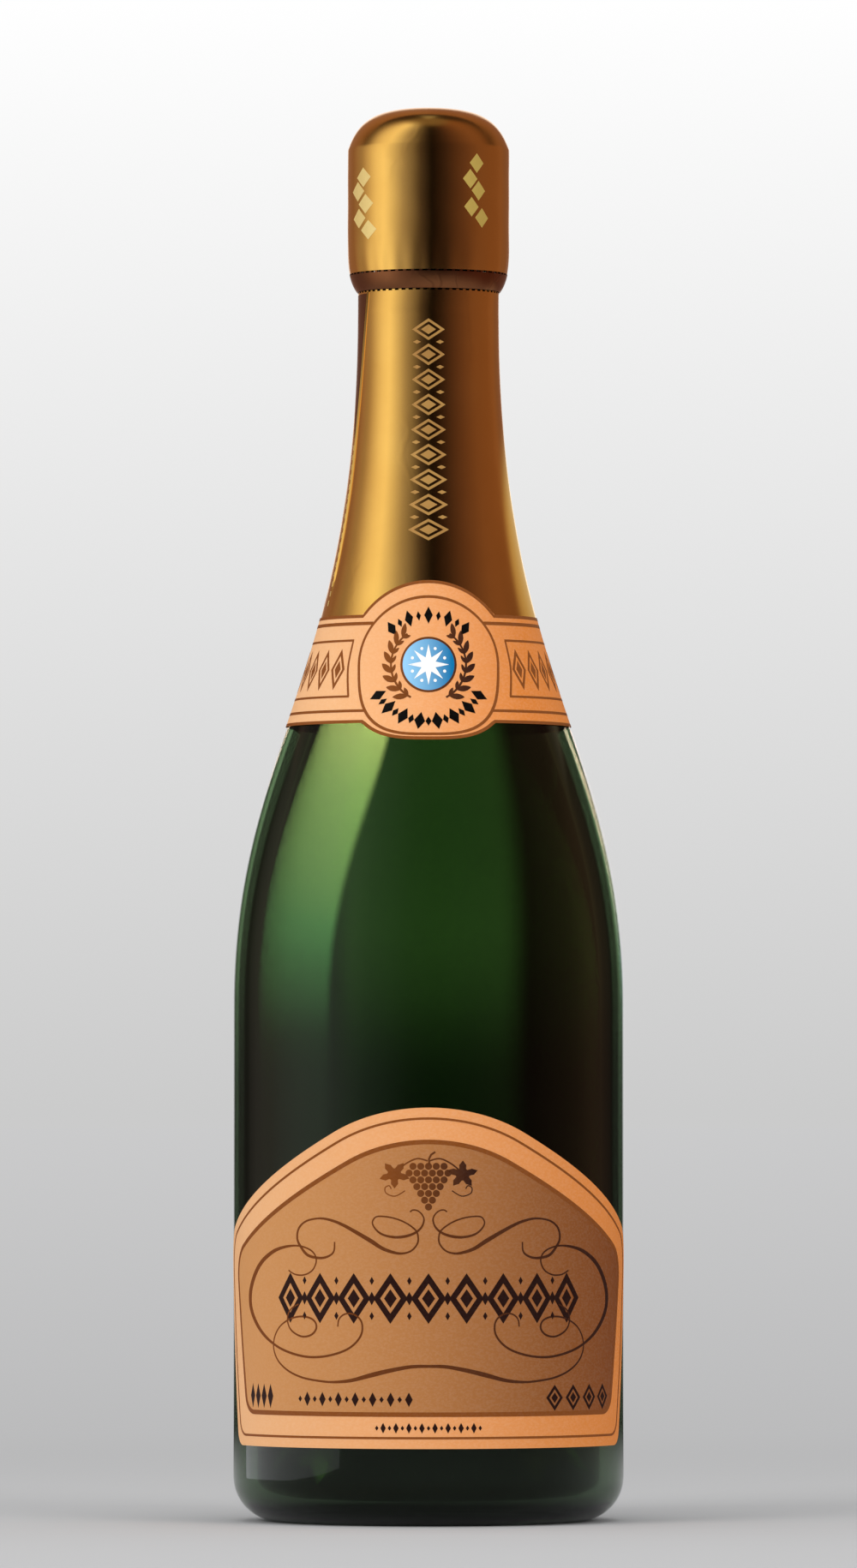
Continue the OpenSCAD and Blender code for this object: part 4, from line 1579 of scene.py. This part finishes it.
    def build_scrolls(self) -> None:
        """Draws the three flourishes of each side."""
        ink = Ink(self.spot, self.ink_layer)
        for path, swell in self.scrolls:
            points = [tuple(float(n) for n in pair.split(",")) for pair in path.split()]
            ink.stroke(smooth_line(points, 6), 0.3, [(t, self.scroll_share * w) for t, w in swell])
        ink.mirrored()
        self.lay(ink, "label-scrolls", Look.SCROLL)

    def build_frieze(self) -> None:
        """Draws the row of lozenges across the middle and the small rows below it."""
        ink = Ink(self.spot, self.ink_layer)
        for i in range(9):
            u = (i - 4) * 8.5
            ink.frame_lozenge(u, 50.7, 3.9, 5.6, 1.3)
            if i < 8:
                for v, size in ((50.7, 1.0), (54.6, 0.6), (46.8, 0.6)):
                    ink.lozenge(u + 4.25, v, 0.85 * size, 1.5 * size)
        for i in range(4):
            ink.lozenge(-48.3 + 2.5 * i, 28.7, 1.0, 2.7)
            ink.frame_lozenge(30.4 + 5.7 * i, 28.5, 2.4, 2.9, 0.65)
        for count, left, step, v, large, small in (
            (14, -31.0, 2.05, 28.3, (0.85, 1.6), (0.5, 0.7)),
            (17, -11.6, 1.45, 22.0, (0.6, 1.15), (0.38, 0.55)),
        ):
            for i in range(count):
                ink.lozenge(left + step * i, v, *(large if i % 2 else small))
        self.lay(ink, "label-frieze", Look.DARK)

    def build_grapes(self) -> None:
        """Draws the bunch of grapes with its leaves and tendrils."""
        ink = Ink(self.spot, self.ink_layer)
        for row, count in enumerate((5, 6, 5, 4, 3, 2, 1)):
            for i in range(count):
                ink.disc((i - (count - 1) / 2) * 1.72, 80.0 - 1.5 * row, 0.79, 14)
        ink.stroke([(0.2, 80.4), (0.1, 81.6), (0.6, 82.6), (1.5, 83.2)], 0.45)
        stalk = ((0.2, 81.2), (2.5, 81.7), (5, 80.6), (7, 79))
        curl = ((5.2, 74.6), (7.4, 73.4), (9.4, 74), (9.7, 75.2), (8.8, 75.7), (8.3, 75))
        for side in (-1, 1):
            leaf = []
            for a in (2 * math.pi * i / 60 for i in range(60)):
                r = 2.9 * (0.72 + 0.28 * math.cos(5 * a)) * (1 + 0.07 * math.cos(20 * a))
                leaf.append((side * 7.6 + r * math.cos(a + 0.3 * side) * 1.15,
                             78.2 + r * math.sin(a + 0.3 * side)))
            ink.area(leaf, 2.0, 2.0)
            for path, width in ((stalk, 0.35), (curl, 0.25)):
                ink.stroke(smooth_line([(side * u, v) for u, v in path]), width)
        self.lay(ink, "label-grapes", Look.EMBLEM)

    def build(self) -> None:
        """Builds the whole label."""
        self.build_paper()
        self.build_scrolls()
        self.build_frieze()
        self.build_grapes()


@dataclass
class CollarLabel(Part):
    """The paper collar round the shoulder, with its medallion in front."""

    middle: float = 191.2
    tall: float = 24.5
    medal_r: float = 18.1
    medal_rise: float = 1.8
    medal_drop: float = 17.9
    power: float = 3.2
    flat_r: float = 28.6
    paper_layer: Pair = (0.19, 0.26)
    ink_layer: Pair = (0.23, 0.3)
    blue_layer: Pair = (0.23, 0.28)
    star_layer: Pair = (0.25, 0.3)
    eye_z: float = 192.0

    def spot(self, u: float, v: float, rise: float) -> Point:
        """Place on the shoulder of a flat spot: u round it, v its height."""
        return polar(self.shape.radius_at(v) + rise, u / self.flat_r - math.pi / 2, v)

    def front(self, x: float, z: float) -> Pair:
        """Flat spot of a point that is seen from straight in front."""
        share = max(-1.0, min(1.0, x / (self.shape.radius_at(z) + 0.3)))
        return (self.flat_r * math.asin(share), z)

    def lay(self, ink: Ink, name: str, look: Look, *nodes: str) -> None:
        """Sends a layer to the bottle, with the CAD nodes it replaces."""
        ink.lay(name, self.finishes[look], Body.BOTTLE, "collar_paper", *nodes)

    def medal(self, inset: float, drop: float, rise: float = 0.0, n: int = 48) -> list[Pair]:
        """The medallion's outline or a line inside it, seen from straight in front.

        Args:
            inset: distance inwards at the sides and top.
            drop: half height of the lower half.
            rise: height of its widest place over the medallion's own.
            n: steps of each half.

        Returns:
            The closed outline, anticlockwise from its right end.
        """
        z, r = self.middle + self.medal_rise + rise, self.medal_r - inset
        lower = []
        for a in (math.radians(180 + 180 * i / n) for i in range(1, n)):
            c, k = math.cos(a), math.sin(a)
            lower.append((math.copysign(r * abs(c) ** (2 / self.power), c),
                          z - drop * abs(k) ** (2 / self.power)))
        return [*arc((0, z), r, 0, 180, n), *lower]

    def contour(self, inset: float) -> list[list[Pair]]:
        """The collar's upper and lower edges in flat spots, from left to right.

        Args:
            inset: distance inwards.

        Returns:
            The upper edge and the lower edge.
        """
        ring = self.medal(inset, self.medal_drop - inset)
        end, reach = math.pi * self.flat_r, self.tall / 2 - inset
        edges = []
        for keep in (1, -1):
            level = self.middle + keep * reach
            bow = sorted(self.front(*p) for p in ring if (p[1] - level) * keep > 0)
            first, last = bow[0][0], bow[-1][0]
            left = [(-end + (first + end - 0.6) * i / 40, level) for i in range(41)]
            right = [(last + 0.6 + (end - last - 0.6) * i / 40, level) for i in range(41)]
            edges.append([*left, *bow, *right])
        return edges

    def rule(self, ink: Ink, side: int, start: float, v: float, width: float) -> None:
        """Draws a level line from a place across to the collar's back.

        Args:
            ink: the layer.
            side: -1 for the left side, 1 for the right.
            start: where it starts.
            v: its height.
            width: its width.
        """
        run = math.pi * self.flat_r - start
        ink.stroke([(side * (start + run * i / 60), v) for i in range(61)], width)

    def build_paper(self) -> None:
        """Lays the paper and its lines."""
        upper, lower = self.contour(0)
        paper = Ink(self.spot, self.paper_layer)
        paper.area([*lower, *reversed(upper)], 2.0, 2.4)
        self.lay(paper, "collar-paper", Look.COLLAR_PAPER, "collar_label")
        ink = Ink(self.spot, self.ink_layer)
        for edge in self.contour(0.3):
            ink.stroke(edge, 0.7)
        ink.stroke([self.front(*p) for p in self.medal(2.5, 15.5, -1.2)], 0.62, closed=True)
        for x, v, width in ((12.4176, 201.5, 0.75), (14.4, 181.7, 0.6)):
            for side in (-1, 1):
                self.rule(ink, side, self.front(x, v)[0], v, width)
        for side, at in ((-1, 40), (1, 41)):
            near, low = math.radians(at) * self.flat_r, math.radians(at - 3.5) * self.flat_r
            bend = smooth_line([(near, 197.7), (near, 191.7), (low, 185.0)])
            ink.stroke([(side * u, v) for u, v in bend], 0.5)
            self.rule(ink, side, near - 0.2, 197.7, 0.5)
            self.rule(ink, side, low - 0.2, 185.0, 0.5)
        for i in range(27):
            a = math.radians(46.3 + (313.7 - 46.3) * i / 26)
            a = a if a < math.pi else a - 2 * math.pi
            if abs(abs(a) - math.pi) > 0.06:
                ink.frame_lozenge(a * self.flat_r, self.middle, 2.2, 4.6, 0.62)
        self.lay(ink, "collar-lines", Look.BROWN)

    def round_shape(self, r: float, n: int = 48) -> list[Pair]:
        """A circle about the medallion's eye, seen from straight in front, in flat spots."""
        return [self.front(*p) for p in arc((0, self.eye_z), r, 0, 360 * (n - 1) / n, n - 1)]

    def build_arcs(self) -> None:
        """Draws the medallion's two arcs of lozenges."""
        arcs = Ink(self.spot, self.ink_layer)
        for count, mid, sweep, drop in ((9, 90, 80, 12.8), (15, 270, 124, 11.2)):
            for i in range(count):
                turn = mid + sweep * (i / (count - 1) - 0.5)
                a, size = math.radians(turn), 0.55 if i % 2 else 1.0
                u, v = self.front(12.8 * math.cos(a), 190.4 + drop * math.sin(a))
                arcs.lozenge(u, v, 1.1 * size, 1.95 * size, turn - 90)
        self.lay(arcs, "collar-arcs", Look.BLACK)

    def build_sprigs(self) -> None:
        """Draws the two leaf sprigs and the ring round the roundel."""
        sprigs = Ink(self.spot, self.ink_layer)
        for side in (-1, 1):
            stem = []
            for i in range(25):
                turn = -62 + 118 * i / 24
                a = math.radians(turn)
                stem.append(self.front(side * 8.4 * math.cos(a), self.eye_z + 8.4 * math.sin(a)))
                if i % 3 == 1:
                    for lean, length, wide in ((-38, 3.4, 1.35), (30, 2.1, 0.8)):
                        way = turn + 90 + lean
                        sprigs.leaf(*stem[-1], length, wide, way if side > 0 else 180 - way)
            sprigs.stroke(stem, 0.45)
        sprigs.stroke(self.round_shape(6.05), 0.5, closed=True)
        self.lay(sprigs, "collar-sprigs", Look.EMBLEM)

    def build_roundel(self) -> None:
        """Lays the enamelled roundel with its star and dots."""
        blue = Ink(self.spot, self.blue_layer)
        blue.area(self.round_shape(6.0), 2.0, 2.0)
        self.lay(blue, "collar-roundel", Look.BLUE)
        star = Ink(self.spot, self.star_layer)
        corners = [(1.7 if i % 2 else 4.6, math.pi * (i / 8 + 0.5)) for i in range(16)]
        star.polygon([self.front(r * math.cos(a), self.eye_z + r * math.sin(a)) for r, a in corners])
        for a in (math.pi * (i / 4 + 0.625) for i in range(8)):
            star.disc(*self.front(3.9 * math.cos(a), self.eye_z + 3.9 * math.sin(a)), 0.36, 12)
        self.lay(star, "collar-star", Look.WHITE)

    def build(self) -> None:
        """Builds the whole collar."""
        self.build_paper()
        self.build_arcs()
        self.build_sprigs()
        self.build_roundel()


@dataclass
class FoilPrint:
    """The lozenges printed on the hood and down the neck, and a painted dark reflection along the sleeve's
    lap.
    """

    foil: Foil
    print_layer: Pair = (-0.05, 0.04)
    lap_layer: Pair = (-0.05, 0.03)
    left_group: tuple = ((302.5, -53.5), (299.4, -60.5), (296.5, -51), (293.3, -59), (290.6, -48))
    right_group: tuple = ((305.4, 36.5), (301.8, 31), (299.2, 38), (295.5, 32), (293.1, 41))
    row_z: float = 222.6
    pitch: float = 5.66
    lap_z: float = 244.0
    lap_tall: float = 32.5

    def hood_spot(self, u: float, v: float, rise: float) -> Point:
        """Place on the hood of a flat spot."""
        r = self.foil.hood_r
        a = u / r - math.pi / 2
        return polar(r + self.foil.pleat(a, r, v) + rise, a, v)

    def neck_spot(self, u: float, v: float, rise: float) -> Point:
        """Place on the sleeve of a flat spot."""
        a = u / self.foil.sleeve_r - math.pi / 2
        r = self.foil.shape.radius_at(v) + self.foil.skin + self.foil.thick
        return polar(r + self.foil.overlap(a, r, v) + rise, a, v)

    def build_hood(self) -> None:
        """Prints the hood's two groups of lozenges, in front and again at the back; the right group has the
        darker gilt as painted shade.
        """
        # painted shade: the right group takes the darker copy of the gilt
        for name, group, wide, look in (("left", self.left_group, 2.6, Look.GILT),
                                        ("right", self.right_group, 1.9, Look.GILT_PAINTED_SHADE)):
            hood = Ink(self.hood_spot, self.print_layer)
            for turn in (0, 180):
                for z, a in group:
                    hood.lozenge(math.radians(a + turn) * self.foil.hood_r, z, wide, 2.2)
            hood.lay(f"hood-lozenges-{name}", self.foil.finishes[look], Body.HOOD, "foil")

    def build_neck(self) -> None:
        """Prints the column of lozenges on the neck."""
        neck = Ink(self.neck_spot, self.print_layer)
        for i in range(9):
            z = self.row_z + self.pitch * i
            neck.frame_lozenge(0, z, 3.7, 2.45, 0.55)
            if i < 8:
                for side in (-1, 1):
                    neck.lozenge(side * 2.6, z + self.pitch / 2, 0.9, 0.45)
        neck.lay("neck-lozenges", self.foil.finishes[Look.COPPER], Body.BOTTLE, "foil")

    def lap_edge(self, z: float, back: float) -> Pair:
        """Flat spot on the sleeve, some degrees behind the lap's edge."""
        turn = math.degrees(self.foil.seam(z)) + self.foil.seam_at + 90 - back
        return (math.radians(turn) * self.foil.sleeve_r, z)

    def build_lap(self) -> None:
        """Lays a dark strip along the lap's edge as a painted dark reflection, and a row of gilt dashes
        along it as a painted light line.
        """
        # painted reflection: dark foil laid where the sleeve's upper left shows a dark reflection band
        strip = Ink(self.neck_spot, self.lap_layer)
        rows = [(self.lap_z + self.lap_tall * i / 16, i / 16) for i in range(17)]
        outer = [self.lap_edge(z, 0.6) for z, _ in rows]
        inner = [self.lap_edge(z, 1.0 + 34 * t**0.8) for z, t in rows]
        strip.area([*outer, *reversed(inner)], 1.5, 2.0)
        strip.lay("lap-painted-reflection", self.foil.finishes[Look.FOIL_DARK], Body.BOTTLE, "foil_dark")
        # painted light: short gilt dashes along the edge of that painted band
        dashes = Ink(self.neck_spot, self.lap_layer)
        for z in (206 + 2.2 * i for i in range(17)):
            dashes.stroke([self.lap_edge(z + 0.3 * k, 0.9) for k in range(5)], 0.3)
        dashes.lay("lap-painted-light-dashes", self.foil.finishes[Look.GILT], Body.BOTTLE, "foil")

    def build(self) -> None:
        """Prints all of it."""
        self.build_hood()
        self.build_neck()
        self.build_lap()


class Studio:
    """The floor, the lamps, the room that metal and glass show, and the camera."""

    eye = (0.0, -2.5, 0.092)
    aim = (0.0, 0.0, 0.1661)
    lens = 254.2
    target = (0.0, 0.0, 0.16)
    white = (1.0, 1.0, 1.0)
    ambient = (0.62, 0.62, 0.62)
    floor_r = 60000
    backdrop = (164.0, 170.0)
    sides = (
        (-180, (0.015, 0.014, 0.013)), (-140, (0.03, 0.024, 0.02)), (-112, (0.24, 0.11, 0.075)),
        (-79, (0.21, 0.1, 0.08)), (-50, (0.12, 0.058, 0.055)), (-24, (0.04, 0.023, 0.027)),
        (-4, (0.004, 0.003, 0.004)), (12, (0.07, 0.055, 0.07)), (37, (0.4, 0.37, 0.4)),
        (66, (1.12, 1.1, 1.05)), (80, (1.0, 0.95, 0.9)), (106, (0.45, 0.36, 0.32)),
        (135, (0.05, 0.04, 0.035)), (180, (0.015, 0.014, 0.013)),
    )
    glow = (
        (0.085, (0.012, 0.02, 0.02)), (0.108, (0.04, 0.06, 0.07)), (0.128, (0.29, 0.315, 0.535)),
        (0.147, (1.35, 0.72, 1.1)), (0.162, (2.6, 1.05, 1.6)),
    )

    def around(self, g: Graph, way: object, backdrop: object) -> bpy.types.NodeSocket:
        """Colour of the room round the bottle: the pale backdrop behind, dark sides, softboxes.

        Args:
            g: the graph that the nodes go into.
            way: the direction, or a place on the floor.
            backdrop: the backdrop's colour.

        Returns:
            The colour.
        """
        axes = g.axes(way)
        turn = g.math("ARCTAN2", g.math("MULTIPLY", axes[0], -1.0), g.math("MULTIPLY", axes[1], -1.0))
        stops = [(degrees / 360 + 0.5, colour) for degrees, colour in self.sides]
        shown = g.stops(g.math("MULTIPLY_ADD", turn, 0.5 / math.pi, 0.5), stops)
        limits = (math.radians(degrees) for degrees in self.backdrop)
        return g.mix(g.ramp(g.math("ABSOLUTE", turn), *limits), shown, backdrop)

    @staticmethod
    def rays(g: Graph) -> tuple[bpy.types.NodeSocket, bpy.types.NodeSocket]:
        """Whether a ray comes from the camera, and whether metal or glass sends it on."""
        rays = g.add("ShaderNodeLightPath").outputs
        return rays["Is Camera Ray"], g.math("MAXIMUM", rays["Is Glossy Ray"], rays["Is Transmission Ray"])

    @staticmethod
    def stand(name: str, data: bpy.types.ID, place: Point, target: Point) -> bpy.types.Object:
        """Stands a camera or a lamp at a place, turned to a target, in metres."""
        thing = bpy.data.objects.new(name, data)
        thing.location = place
        thing.rotation_euler = (Vector(target) - Vector(place)).to_track_quat("-Z", "Y").to_euler()
        bpy.context.scene.collection.objects.link(thing)
        return thing

    def camera(self) -> None:
        """Sets the camera level with the bottle's lower half, far off, as photographed."""
        data = bpy.data.cameras.new("Camera")
        data.lens, data.sensor_width = self.lens, 36.0
        data.clip_start, data.clip_end = 0.1, 100.0
        bpy.context.scene.camera = self.stand("Camera", data, self.eye, self.aim)

    def floor(self) -> None:
        """Lays a plain pale floor that melts into the room far away."""
        material = bpy.data.materials.new("Floor")
        material.use_nodes = True
        nodes = material.node_tree.nodes
        g = Graph(material.node_tree)
        nodes.remove(nodes["Principled BSDF"])
        place = g.place()
        span = g.vector("LENGTH", {0: place}, 1)
        far = g.math("DIVIDE", span, g.math("ADD", span, -self.eye[1]))
        glow = g.mix(far, (0.47, 0.47, 0.475), (0.6, 0.6, 0.605))
        seen, mirrored = self.rays(g)
        share = g.math("MULTIPLY", g.ramp(span, 0.16, 0.7), g.math("MAXIMUM", seen, mirrored))
        tone = g.mix(mirrored, glow, self.around(g, place, glow))
        lit = g.add("ShaderNodeBsdfDiffuse", {"Color": (0.5, 0.5, 0.505)}).outputs[0]
        shine = g.add("ShaderNodeEmission", {"Color": tone, "Strength": 1.0}).outputs[0]
        both = g.add("ShaderNodeMixShader", {0: share, 1: lit, 2: shine})
        g.feed(nodes["Material Output"], 0, both.outputs[0])
        ring = [polar(self.floor_r, 2 * math.pi * i / 64, 0.0) for i in range(64)]
        mesh_piece("floor", ring, [list(range(64))], material)

    def lamp(self, name: str, place: Point, size: Pair, watts: float, colour: Colour) -> bpy.types.Object:
        """Adds a softbox that faces the bottle.

        Args:
            name: the lamp's name.
            place: where it stands, in metres.
            size: its width and height.
            watts: its power.
            colour: its colour.

        Returns:
            The lamp.
        """
        data = bpy.data.lights.new(name, "AREA")
        data.shape = "RECTANGLE"
        data.size, data.size_y = size
        data.energy, data.color = watts, colour
        lamp = self.stand(name, data, place, self.target)
        lamp.visible_camera = lamp.visible_glossy = lamp.visible_transmission = False
        return lamp

    def card(self, name: str, y: float, across: Pair, up: Pair) -> tuple[bpy.types.Object, Graph, Given]:
        """Adds an upright card behind the bottle, on which a strength of 1 is white.

        Args:
            name: the card's name.
            y: how far behind it stands, in metres.
            across: its left and right edges.
            up: its lower and upper edges.

        Returns:
            The card, its graph and the axes of a place on it.
        """
        size = (across[1] - across[0], up[1] - up[0])
        middle, watts = (sum(across) / 2, y, sum(up) / 2), math.pi * size[0] * size[1]
        card = self.lamp(name, middle, size, watts, self.white)
        card.rotation_euler = (math.radians(-90), 0, 0)
        card.visible_diffuse = False
        card.data.use_nodes = True
        g = Graph(card.data.node_tree)
        return card, g, g.axes(g.add("ShaderNodeNewGeometry").outputs["Position"])

    @staticmethod
    def shine(card: bpy.types.Object, g: Graph, tone: object, strength: object) -> None:
        """Gives a card its colour and strength."""
        for key, value in (("Color", tone), ("Strength", strength)):
            g.feed(card.data.node_tree.nodes["Emission"], key, value)

    def glow_card(self) -> None:
        """Adds the card that the glass shows as its pale band, which fades downwards."""
        card, g, axes = self.card("Glow card", 0.1, (-0.010, 0.032), (0.05, 0.27))
        card.visible_transmission = True
        side = g.ramp(axes[0], 0.0035, 0.0045, 0.0, 7.0)
        reach = g.ramp(axes[2], 0.135, 0.19, 0.032, 0.021)
        kept = g.ramp(g.math("SUBTRACT", axes[0], reach), -0.002, 0.0, 1.0, 0.0)
        self.shine(card, g, g.stops(axes[2], self.glow), g.math("MULTIPLY", side, kept))

    def edge_card(self) -> None:
        """Adds the card behind the neck that the foil's two edges show."""
        card, g, axes = self.card("Edge card", 0.05, (-0.17, 0.17), (0.2, 0.42))
        card.visible_glossy = True
        gold = g.mix(g.ramp(axes[2], 0.236, 0.254), (0.6, 0.5, 0.3), (0.22, 0.1, 0.06))
        tone = g.mix(g.ramp(axes[0], -0.005, 0.005), (0.26, 0.13, 0.08), gold)
        out = g.ramp(g.math("ABSOLUTE", axes[0]), 0.04, 0.17, 1.0, 0.0)
        self.shine(card, g, tone, g.math("MULTIPLY", g.ramp(axes[2], 0.2, 0.212), out))

    def room(self) -> None:
        """The world: what lights the bottle, what shines in it and what lies behind it."""
        world = bpy.data.worlds.new("Room")
        bpy.context.scene.world = world
        world.use_nodes = True
        world.cycles.sampling_method = "NONE"
        g = Graph(world.node_tree)
        way = g.add("ShaderNodeTexCoord").outputs["Generated"]
        axes = g.axes(way)
        back = g.math("POWER", g.ramp(axes[2], 0.0, 0.1, 0.795, 1.0, "LINEAR"), 2.25)
        behind = g.add("ShaderNodeCombineColor", {0: back, 1: back, 2: back}).outputs[0]
        upper = g.math("MULTIPLY", g.ramp(axes[2], 0.25, 0.5), g.ramp(axes[1], 0.0, 0.5))
        sheen = g.mix(upper, self.around(g, way, behind), (0.05, 0.03, 0.025))
        sheen = g.mix(g.ramp(axes[2], 0.93, 1.0), sheen, (0.2, 0.15, 0.13))
        seen, mirrored = self.rays(g)
        light = g.mix(seen, g.mix(mirrored, self.ambient, sheen), behind)
        g.feed(world.node_tree.nodes["Background"], "Color", light)
        g.feed(world.node_tree.nodes["Background"], "Strength", 1.0)

    def build(self) -> None:
        """Builds the whole studio."""
        self.camera()
        self.floor()
        for name, place, size, watts in (
            ("Left softbox", (-1.1, -1.0, 0.7), (0.8, 1.2), 12.0),
            ("Right softbox", (1.2, -1.1, 0.6), (0.8, 1.2), 9.0),
            ("Top softbox", (0.0, -0.1, 1.5), (1.2, 1.2), 6.0),
        ):
            self.lamp(name, place, size, watts, self.white)
        low = self.lamp("Low card", (-0.13, -0.02, 0.016), (0.2, 0.024), 0.013, (0.9, 0.82, 1.0))
        low.rotation_euler = (math.radians(90), 0, math.radians(-90))
        low.visible_glossy, low.visible_diffuse = True, False
        self.edge_card()
        self.glow_card()
        self.room()
        bpy.context.scene.view_settings.view_transform = "Standard"


def corners(box: Iterable[Vector]) -> list[list[float]]:
    """A box as plain lists of numbers."""
    return [list(corner) for corner in box]


def main() -> None:
    """Builds the bottle, its dressing and the studio, piece by piece."""
    logging.basicConfig(level=logging.INFO, format="%(message)s")
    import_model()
    shape = Shape()
    finishes = all_finishes()
    wires, bridges = wire_tree(), bridge_tree()
    cork = Cork(shape, finishes)
    foil = Foil(shape, finishes, cork, bridges)
    for part in (
        GlassAndWine(shape, finishes),
        cork,
        Cage(shape, finishes, cork, wires),
        foil,
        FoilPrint(foil),
        CollarLabel(shape, finishes),
        FrontLabel(shape, finishes),
    ):
        LOG.info("building %s", type(part).__name__)
        part.build()
    Studio().build()


if __name__ == "__main__":
    main()
